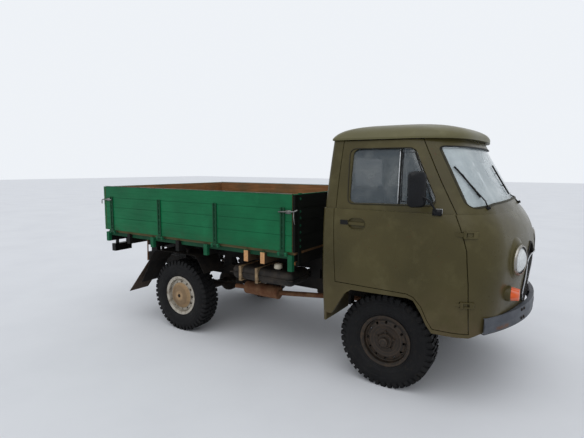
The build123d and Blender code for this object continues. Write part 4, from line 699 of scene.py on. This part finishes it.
# The door window's corners, the mirror's place, and the lock's
WINDOW = [(SHIFT - 0.328, 1.909), (SHIFT - 0.294, 1.481), (SHIFT + 0.401, 1.493), (SHIFT + 0.178, 1.909)]
MIRROR = (SHIFT + 0.281, 1.035, 1.612)
LOCK_X, LOCK_Z = SHIFT - 0.302, 1.338


def window_trim(side, s, body):
    """The brown channel round the opening, the vent's seal, its bright post and its frame."""
    line = [on_side(p.x, p.y, s, 0.002) for p in rounded(WINDOW, 0.052)]
    line = [p for p in line if p is not None]
    Shape().tube(line, 0.0042, 8, True).done(side + "_window_channel", channel_brown, body, "rubber", True)
    for off, half, shift, look, tag in ((-0.003, 0.0098, 0.0, black_rubber_and_gap_shade, "_vent_seal"),
                                        (0.0065, 0.0036, -0.004, chrome, "_vent_post")):
        line = [on_side(SHIFT + 0.109 + shift - 0.024 * k / 6, 1.497 + 0.400 * k / 6, s, off)
                for k in range(7)]
        Shape().tube(line, half, 8).done(side + tag, look, body, "steel", True)
    corners = ((0.126, 1.515), (0.36, 1.515), (0.19, 1.875), (0.103, 1.875))
    lean = [on_side(SHIFT + x, z, s, 0.001) for x, z in corners]
    Shape().tube(lean, 0.0045, 8, True).done(side + "_vent_frame", black_rubber_and_gap_shade, body, "rubber", True)


def mirror(side, s, body):
    """A rounded housing and a bent arm in place of the node's plain ones, with glass and bracket."""
    turn = Matrix.Rotation(radians(45 * s), 4, "Z")
    face = Matrix.Translation((MIRROR[0], s * MIRROR[1], MIRROR[2])) @ turn
    w, h = MIRROR_W, MIRROR_H
    outline = rounded([(-w, -h), (w, -h), (w, h), (-w, h)], 0.044)
    n, rings = len(outline), len(MIRROR_SHELL)
    verts = [(depth, y * (1 - inset / w), z * (1 - inset / h))
             for depth, inset in MIRROR_SHELL for y, z in outline]
    faces = between(rings, n, False, True) + [tuple(range(n))]
    faces.append(tuple((rings - 1) * n + i for i in range(n)))
    housing = Shape().put(verts, faces, face)
    housing = housing.done(side + "_mirror_housing", mirror_black, body, "trim_plastic", True)
    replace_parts(housing, "mirror_" + side)
    bend = ((0.400, 0.950, 1.452), (0.356, 1.012, 1.535), (0.284, 1.030, 1.582))
    arm = Shape().tube(smooth_line([(SHIFT + x, s * y, z) for x, y, z in bend], 8), 0.0072, 10)
    arm.block((SHIFT + 0.401, s * 0.952, 1.454), (0.062, 0.016, 0.044))
    arm.done(side + "_mirror_arm", mirror_black, body, "trim_plastic", True)
    plate = rounded([(-0.057, -0.115), (0.057, -0.115), (0.057, 0.115), (-0.057, 0.115)], 0.018)
    glass = Shape().put([(-0.0204, y, z) for y, z in plate], [tuple(range(len(plate)))], face)
    glass.done(side + "_mirror_face", chrome, body, "steel")
    foot = on_side(SHIFT + 0.402, 1.452, s, 0.004)
    bracket = Shape().block(foot, (0.056, 0.009, 0.048), Euler((0, 0, radians(8 * -s))).to_matrix())
    for dx in (-0.018, 0.018):
        bracket.bolt(foot + Vector((dx, s * 0.005, 0.014)), (0, s, 0), 0.0045, 0.004)
    bracket.done(side + "_mirror_bracket", chrome, body, "steel", False, 0.0015)


def handle(side, s, body):
    """A pressed rim round the handle's bowl, and the lock's face."""
    ring = []
    for k in range(40):
        across, up = cos(tau * k / 40), sin(tau * k / 40)
        ring.append(on_side(SHIFT - 0.1995 + copysign(0.0285, across) + 0.0445 * across,
                            1.332 + 0.0445 * up, s, 0.0005))
    Shape().tube(ring, 0.0028, 6, True).done(side + "_handle_rim", olive, body, "cab_paint", True)
    lock = Shape().lathe([(0.0, 0.001), (0.0085, 0.001), (0.0095, 0.0)],
                         Matrix.Translation((LOCK_X, s * 0.9622, LOCK_Z)) @ facing((0, s, 0)), 20)
    lock.block((LOCK_X, s * 0.9625, LOCK_Z), (0.064, 0.005, 0.034))
    lock.done(side + "_lock", black_rubber_and_gap_shade, body, "rubber", False, 0.0012)


def door_inside(side, s, body):
    """A door card and a window crank."""
    card = Shape().block((SHIFT + 0.10, s * 0.9085, 1.13), (0.80, 0.006, 0.50))
    card.done(side + "_door_card", plastic, body, "trim_plastic", False, 0.002)
    places = ((0.12, 0.905, 1.24), (0.12, 0.88, 1.24), (0.20, 0.876, 1.21), (0.20, 0.845, 1.21))
    root, hub, elbow, knob = [(SHIFT + x, s * y, z) for x, y, z in places]
    crank = Shape().tube([root, hub, elbow], 0.007)
    crank.tube([elbow, knob], 0.011, 12)
    crank.done(side + "_window_crank", plastic, body, "trim_plastic", True)


for side, s in SIDES:
    for piece in (window_trim, mirror, handle, door_inside):
        piece(side, s, side + "_door")


def at_pixel(px, py, off=0.0):
    """The cab's surface where the camera sees this point of the photograph."""
    eye = camera.matrix_world.translation
    ray = camera.matrix_world.to_3x3() @ Vector((px - PHOTO_W / 2, PHOTO_H / 2 - py, -FOCAL)).normalized()
    return on_cab(eye, ray, off)


def wiper(name, pivot, joint, tip_low, tip_high):
    raised = pivot.lerp(joint, 0.25) + Vector((0.018, 0, 0.004))
    arm = Shape().tube([pivot, raised, joint + Vector((0.010, 0, 0))], 0.0048, 8)
    arm.tube([pivot - Vector((0.02, 0, 0.01)), pivot + Vector((0.016, 0, 0.006))], 0.011, 12)
    arm.done(name + "_arm", black_rubber_and_gap_shade, "truck", "rubber", True)
    blade = Shape()
    line = []
    for k in range(9):
        p = tip_low.lerp(tip_high, k / 8)
        line.append(on_front(p.y, p.z, 0.010) or p)
    blade.tube(line, 0.0062, 8)
    out = Vector((0.008, 0, 0))
    blade.tube([line[2] + out, joint + Vector((0.012, 0, 0)), line[6] + out], 0.004, 8)
    blade.done(name + "_blade", black_rubber_and_gap_shade, "truck", "rubber", True)


# Wipers, on the windscreen's own surface: the near one by the photograph, the far one beside it
near_low, near_high = at_pixel(*BLADE_LOW), at_pixel(*BLADE_HIGH)
wiper("near_wiper", at_pixel(*ARM_FOOT, 0.006), at_pixel(*ARM_JOINT, 0.004), near_low, near_high)
far_low, far_high = near_low + Vector((0.04, 0.60, 0.0)), near_high + Vector((0.05, 0.62, 0.01))
far_pivot = on_front(0.11, 1.475, 0.006)
wiper("far_wiper", far_pivot, far_low.lerp(far_high, 0.5), far_low, far_high)

# The grille's bright trim, laid on the grille and the panel round it
FRONT = tree_of("grille", "cab_front_panel")
trim_line = [(-y, z) for y, z in TRIM_HALF[:0:-1]] + list(TRIM_HALF)
trim_hits = [FRONT.find_nearest(Vector((SHIFT + 0.96, y, z)))[0] for y, z in trim_line]
Shape().tube(smooth_line([hit + Vector((0.003, 0, 0)) for hit in trim_hits], 8), 0.0055, 8).done(
    "grille_trim", chrome, "truck", "steel", True)

# A pale lid over the filler cap
cap = [v.co for v in nodes["filler_cap"].data.vertices]
cap_x, cap_y = ((min(c[i] for c in cap) + max(c[i] for c in cap)) / 2 for i in (0, 1))
lid = Shape().lathe([(0, 0.050), (0.028, 0.047), (0.036, 0.038), (0.038, 0.006), (0.030, 0)],
                    Matrix.Translation((cap_x, cap_y, max(c.z for c in cap) - 0.038)), 40)
lid.done("filler_lid", lid_cream, "truck", "cap_cream", True)

# Sun visors and the inner mirror behind the windscreen
visors = Shape()
for y in (-0.27, 0.27):
    visors.block((SHIFT + 0.450, y, 1.872), (0.014, 0.46, 0.130), tipped(-14))
visors.done("sun_visors", black_rubber_and_gap_shade, "truck", "trim_plastic", False, 0.005)
inner = Shape().block((SHIFT + 0.485, 0, 1.755), (0.012, 0.20, 0.055), tipped(-8))
inner.tube([(SHIFT + 0.49, 0, 1.78), (SHIFT + 0.50, 0, 1.90)], 0.005)
inner.done("inner_mirror", plastic, "truck", "trim_plastic", False, 0.003)

# Lamps: bright rims, a black ring as painted shade in the gap, an olive bead, and screws
LAMP, LAMP_TURN = (SHIFT + 0.882, 0.560, 1.106), 15
SIGNAL = (SHIFT + 0.866, 0.642, 0.872)
for side, s in SIDES:
    turn = Matrix.Rotation(radians(LAMP_TURN * s), 4, "Z")
    place = Matrix.Translation((LAMP[0], s * LAMP[1], LAMP[2])) @ turn @ facing((1, 0, 0))
    rim = Shape().lathe([(0.0955, 0.028), (0.097, 0.034), (0.1005, 0.0365), (0.106, 0.034), (0.110, 0.027),
                         (0.1125, 0.0175)], place, 72)
    rim.done(side + "_lamp_rim", lamp_chrome, "truck", "steel", True)
    # painted shade: a black ring fills the gap between lens and rim
    gap = Shape().lathe([(0.0895, 0.0275), (0.093, 0.0285), (0.0958, 0.0335)], place, 72)
    gap.done(side + "_lamp_gap_shade", black_rubber_and_gap_shade, "truck", "rubber", True)
    pod = Shape().lathe([(0.1125, 0.0185), (0.1165, 0.0150), (0.120, 0.0175), (0.124, 0.0165)], place, 72)
    pod.done(side + "_lamp_bead", olive, "truck", "cab_paint", True)
    ahead = turn @ Vector((1, 0, 0))
    screws = Shape()
    for a in (90, 210, 330):
        screws.bolt(place @ on_ring(0.1055, radians(a), 0.034), ahead, 0.0035, 0.002, 8)
    screws.done(side + "_lamp_screws", steel, "truck", "steel")
    base = Shape().lathe([(0.0495, 0.0005), (0.0555, 0.0005), (0.0565, -0.010), (0.0565, -0.06)],
                         Matrix.Translation((SIGNAL[0], s * SIGNAL[1], SIGNAL[2])) @ facing((1, 0, 0)), 48)
    base.done(side + "_signal_base", olive, "truck", "cab_paint", True)


def on_bumper(y, off=0.0):
    """The place on the bumper's bow at about this y, and the direction that it faces."""
    a = asin(y / BOW_R)
    place = Vector((BOW_X - BOW_R + (BOW_R + 0.002 + off) * cos(a), (BOW_R + off) * sin(a), 0))
    return place, (cos(a), sin(a), 0)


# Bumper: a pressed crease along its bow, and bolts on the brackets
BUMPER_END, BUMPER_STEPS = 0.870, 60
rows = ((0.0006, 0.6125), (0.0012, 0.655), (0.0045, 0.6680), (0.0045, 0.6740), (0.0012, 0.6870),
        (0.0006, 0.7285))
verts = []
for i in range(BUMPER_STEPS + 1):
    y = -BUMPER_END + 2 * BUMPER_END * i / BUMPER_STEPS
    verts += [on_bumper(y, off)[0] + Vector((0, 0, z)) for off, z in rows]
face = Shape().put(verts, between(BUMPER_STEPS + 1, len(rows)))
face.done("bumper_face", bumper_grey, "truck", "bumper_paint", True)
bolts = Shape()
for y in (-0.42, -0.372, 0.372, 0.42):
    for z in (0.640, 0.705):
        p, out = on_bumper(y, 0.001)
        bolts.bolt(p + Vector((0, 0, z)), out, 0.009, 0.007)
for y in (-0.09, 0.09):
    p, out = on_bumper(y, 0.002)
    bolts.lathe([(0.0, 0.0), (0.007, 0.0)], Matrix.Translation(p + Vector((0, 0, 0.700))) @ facing(out), 16)
bolts.done("bumper_bolts", iron, "truck", "iron")

# Side and tail boards: bolts in the straps, inner straps' nuts, latches at the corners
plank_mids = [BOARD_LOW + m * (BOARD_HIGH - BOARD_LOW) for m in (0.09, 0.2, 0.34, 0.46, 0.59, 0.70)]
LATCH_Z = 1.392
for side, s in SIDES:
    heads = Shape()
    for x in SIDE_STRAPS:
        for z in plank_mids:
            heads.bolt((x, s * (BED_HALF + 0.003), z), (0, s, 0), 0.0075, 0.005, 12)
            heads.bolt((x, s * (BED_HALF - 0.0285), z), (0, -s, 0), 0.0075, 0.006)
    heads.done(side + "_board_bolts", steel_green, side + "_board", "bed_paint")
    hook = Shape()
    x0, z0 = SIDE_STRAPS[0], LATCH_Z
    hook.tube([(x0 - 0.035, s * 1.004, z0 - 0.004), (x0 + 0.02, s * 1.006, z0),
               (x0 + 0.075, s * 1.007, z0 + 0.003), (x0 + 0.118, s * 1.003, z0 + 0.004),
               (x0 + 0.150, s * 1.004, z0 + 0.018)], 0.006, 8)
    hook.block((x0 + 0.058, s * 0.9935, z0 - 0.002), (0.052, 0.007, 0.030))
    hook.tube([(x0 + 0.118, s * 1.004, z0), (x0 + 0.121, s * 1.012, z0 - 0.045),
               (x0 + 0.130, s * 1.008, z0 - 0.10)], 0.004, 8)
    hook.done(side + "_front_latch", steel, side + "_board", "steel", True)
    rear = Shape()
    xr = SIDE_STRAPS[-1]
    rear.block((xr - 0.055, s * 0.9935, z0), (0.052, 0.007, 0.030))
    rear.tube([(xr + 0.01, s * 1.003, z0), (xr - 0.06, s * 1.005, z0),
               (xr - 0.125, s * 1.004, z0 - 0.001)], 0.006, 8)
    rear.done(side + "_rear_latch", steel, side + "_board", "steel", True)
    top = Shape().block((SHIFT - 2.0125, s * 0.9775, 1.5412), (2.49, 0.029, 0.0026))
    top.done(side + "_board_cap", steel_green, side + "_board", "bed_paint", False)
heads = Shape()
for y in TAIL_STRAPS:
    for z in plank_mids:
        heads.bolt((BED_REAR - 0.003, y, z), (-1, 0, 0), 0.0075, 0.005, 12)
        heads.bolt((BED_REAR + 0.0285, y, z), (1, 0, 0), 0.0075, 0.006)
heads.done("tail_board_bolts", steel_green, "tail_board", "bed_paint")
hooks = Shape()
for s in (-1, 1):
    hooks.block((BED_REAR - 0.0035, s * 0.955, LATCH_Z), (0.007, 0.045, 0.030))
    hooks.tube([(BED_REAR - 0.012, s * 0.935, LATCH_Z), (BED_REAR - 0.014, s * 0.985, LATCH_Z),
                (BED_REAR - 0.010, s * 1.012, LATCH_Z - 0.006),
                (BED_REAR - 0.008, s * 1.014, LATCH_Z - 0.047)], 0.006, 8)
hooks.done("tail_board_hooks", steel, "tail_board", "steel", True)

# Headboard bolts, and nails where the floor's planks cross the bearers
heads = Shape()
for y in (-0.920, -0.330, 0.330, 0.920):
    for z in plank_mids + [1.50]:
        heads.bolt((BED_FRONT + 0.0102, y, z), (1, 0, 0), 0.008, 0.006)
heads.done("headboard_bolts", steel_green, "truck", "bed_paint")
nails = Shape()
for i in range(12):
    y0 = -0.959 + i * 0.160167
    for x in BEARERS:
        for dy in (0.03, 0.125):
            nails.bolt((x, y0 + dy, 1.0452), (0, 0, 1), 0.0035, 0.001, 8)
nails.done("floor_nails", iron, "truck", "iron")

# Under the bed: a stay rod by each mudguard
stays = Shape()
for s in (-1, 1):
    stays.tube([(SHIFT - 2.700, s * 0.885, 0.996), (SHIFT - 2.702, s * 0.886, 0.85),
                (SHIFT - 2.705, s * 0.888, 0.735)], 0.007, 8)
    stays.block((SHIFT - 2.700, s * 0.905, 1.000), (0.03, 0.05, 0.012))
stays.done("mudguard_stays", rusty, "truck", "rust_steel")

# Inside the cab: dials, pedals and levers
dial = Shape()
for y, r in ((0.58, 0.052), (0.45, 0.052), (0.515, 0.026)):
    z = 1.345 if r > 0.03 else 1.425
    place = Matrix.Translation((SHIFT + 0.585, y, z)) @ facing((-0.97, 0, 0.24))
    dial.lathe([(0.0, 0.004), (r * 0.9, 0.004), (r * 0.92, 0.010), (r, 0.010), (r * 1.02, -0.03)], place, 40)
dial.done("dash_dials", plastic, "truck", "trim_plastic", False)
controls = Shape()
for y in (0.33, 0.47, 0.61):
    controls.tube([(SHIFT + 0.66, y, 0.93), (SHIFT + 0.60, y, 0.86), (SHIFT + 0.57, y, 0.79)], 0.008)
    controls.block((SHIFT + 0.56, y, 0.785), (0.014, 0.055, 0.07), tipped(30))
controls.done("pedals", frame_black, "truck", "black_paint")
levers = Shape()
for x, y, h in ((0.10, 0.10, 0.36), (0.02, -0.10, 0.22), (-0.05, -0.16, 0.20)):
    foot, knob = Vector((SHIFT + x, y, 1.108)), Vector((SHIFT + x - 0.03, y + 0.03, 1.108 + h))
    levers.tube([foot, foot + Vector((0.02, 0.01, h * 0.6)), knob], 0.008)
    levers.lathe([(0, 0.022), (0.012, 0.019), (0.021, 0.006), (0.019, -0.010), (0.009, -0.020), (0, -0.021)],
                 Matrix.Translation(knob), 20)
    levers.lathe([(0.045, 0.0), (0.030, 0.018), (0.014, 0.030)],
                 Matrix.Translation((SHIFT + x, y, 1.110)), 24)
levers.done("gear_levers", plastic, "truck", "trim_plastic", True)


def applied(obj):
    """The object's mesh as its modifiers leave it, put in place of its own; the modifiers go."""
    bpy.context.view_layer.update()
    shown = obj.evaluated_get(bpy.context.evaluated_depsgraph_get())
    mesh = bpy.data.meshes.new_from_object(shown)
    obj.modifiers.clear()
    obj.data = mesh
    return obj


def swollen(name, corners, seat_z):
    """A block by its corners, remeshed and blown up, each point's way capped; none sinks below the seat."""
    centre = sum((Vector(c) for c in corners), Vector()) / 8
    small = [Vector(c) - Vector([copysign(SHRINK, c[i] - centre[i]) for i in range(3)]) for c in corners]
    pad = raw_object(name, small, BLOCK_FACES)
    remesh = pad.modifiers.new("remesh", "REMESH")
    remesh.mode = "VOXEL"
    remesh.voxel_size = VOXEL
    applied(pad)
    start = [v.co.copy() for v in pad.data.vertices]
    last = 20
    cloth = pad.modifiers.new("cloth", "CLOTH")
    cloth.settings.use_pressure = True
    cloth.settings.uniform_pressure_force = 4.0
    cloth.settings.effector_weights.gravity = 0.0
    cloth.point_cache.frame_start, cloth.point_cache.frame_end = 1, last
    for step in range(1, last + 1):
        scene.frame_set(step)
    applied(pad)
    scene.frame_set(1)
    for vert, before in zip(pad.data.vertices, start):
        way = vert.co - before
        if way.length > SWELL:
            way *= SWELL / way.length
        vert.co = before + way
        vert.co.z = max(vert.co.z, seat_z)
    smooth = pad.modifiers.new("smooth", "SUBSURF")
    smooth.levels = smooth.render_levels = 1
    applied(pad)
    verts = [v.co.copy() for v in pad.data.vertices]
    polys = [tuple(p.vertices) for p in pad.data.polygons]
    bpy.data.objects.remove(pad)
    return verts, polys


def pad_pieces(part, corners, seat_z, loops):
    """A pad for each seat, with piping along the loops; the left seat mirrors the right one."""
    verts, polys = swollen(part, corners, seat_z)
    skin = BVHTree.FromPolygons(verts, polys)
    for side, flip in (("right", 1), ("left", -1)):
        turned = [(v.x, v.y * flip, v.z) for v in verts]
        pad = made(f"pad_{part}_{side}", turned, polys, vinyl, "truck", "seat_cloth", True)
        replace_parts(pad, f"seat_{side}")
        piping = Shape()
        for loop in loops:
            path = [skin.find_nearest(p)[0] for p in smooth_line(loop, 12, True)]
            piping.tube([(p.x, p.y * flip, p.z) for p in path], 0.0035, 8, True)
        piping.done(f"piping_{part}_{side}", vinyl, "truck", "seat_cloth", True)


# Seats, in metres: the cushion's reach in x and z; at the back's foot and top, its rear x, front x and z
VOXEL = 0.006
SWELL, SHRINK = 0.024, 0.010
PIPE_INSET = 0.02
CUSHION_X, CUSHION_Z = (0.865, 1.325), (0.900, 1.030)
BACK = ((0.770, 0.855, 1.050), (0.745, 0.820, 1.520))
seat_y = [v.co.y for v in nodes["seat_right"].data.vertices]
near, far = min(seat_y), max(seat_y)
(back_x, front_x), (low_z, high_z) = CUSHION_X, CUSHION_Z
pad_pieces("cushion", [(x, y, z) for x in CUSHION_X for y in (near, far) for z in CUSHION_Z], low_z,
           [[(back_x, near, z), (front_x, near, z), (front_x, far, z), (back_x, far, z)]
            for z in (high_z - PIPE_INSET, low_z + PIPE_INSET)])
(_, foot_x, foot_z), (_, top_x, top_z) = BACK
back = [(edge[i], y, edge[2]) for i in (0, 1) for y in (near + 0.01, far - 0.01) for edge in BACK]
pad_pieces("back", back, foot_z,
           [[(foot_x, near, foot_z), (top_x, near, top_z), (top_x, far, top_z), (foot_x, far, foot_z)]])

# Mud flaps: long sheets that hang slanting behind the rear wheels
FLAP_TOP, FLAP_FOOT = (SHIFT - 2.66, 0.775), (SHIFT - 3.05, 0.33)
FLAP_Y, FLAP_W, FLAP_T = 0.75, 0.26, 0.006
along = Vector((FLAP_FOOT[0] - FLAP_TOP[0], 0, FLAP_FOOT[1] - FLAP_TOP[1]))
for side, s in SIDES:
    middle = Vector(((FLAP_FOOT[0] + FLAP_TOP[0]) / 2, s * FLAP_Y, (FLAP_FOOT[1] + FLAP_TOP[1]) / 2))
    flap = Shape().block(middle, (FLAP_W, FLAP_T, along.length), facing(along).to_3x3())
    flap.done("mud_flap_" + side, flap_rubber, "truck", "rubber", False, 0.002)

# Pale floor
g = Graph("pale_floor")
tone = g.spots((226, 228, 232), (214, 216, 221), (0.8, 4, 0.6), 0.4, 0.7, 0.4)
floor = raw_object("floor", [(-60, -60, 0), (60, -60, 0), (60, 60, 0), (-60, 60, 0)], [(0, 1, 2, 3)])
floor.data.materials.append(g.done(tone, 0.9))

# Sky: a soft light for the surfaces, and a pale background for camera, glossy and transmission rays
world = bpy.data.worlds.new("sky")
scene.world = world
world.use_nodes = True
sky, link = world.node_tree.nodes, world.node_tree.links.new
sky.clear()
rays = sky.new("ShaderNodeLightPath").outputs
share = rays["Is Camera Ray"]
for other in ("Is Glossy Ray", "Is Transmission Ray"):
    either = sky.new("ShaderNodeMath")
    either.operation = "MAXIMUM"
    link(share, either.inputs[0])
    link(rays[other], either.inputs[1])
    share = either.outputs[0]
pick = sky.new("ShaderNodeMixShader")
link(share, pick.inputs[0])
for socket, color, strength in ((1, (0.93, 0.96, 1.0, 1), 0.62), (2, (0.86, 0.89, 0.93, 1), 1.0)):
    background = sky.new("ShaderNodeBackground")
    background.inputs["Color"].default_value = color
    background.inputs["Strength"].default_value = strength
    link(background.outputs[0], pick.inputs[socket])
link(pick.outputs[0], sky.new("ShaderNodeOutputWorld").inputs[0])

sun = bpy.data.objects.new("sky_light", bpy.data.lights.new("sky_light", "SUN"))
sun.data.energy = 1.1
sun.data.angle = radians(70)
sun.rotation_euler = (radians(28), radians(12), 0)
scene.collection.objects.link(sun)

scene.view_settings.view_transform = "Standard"
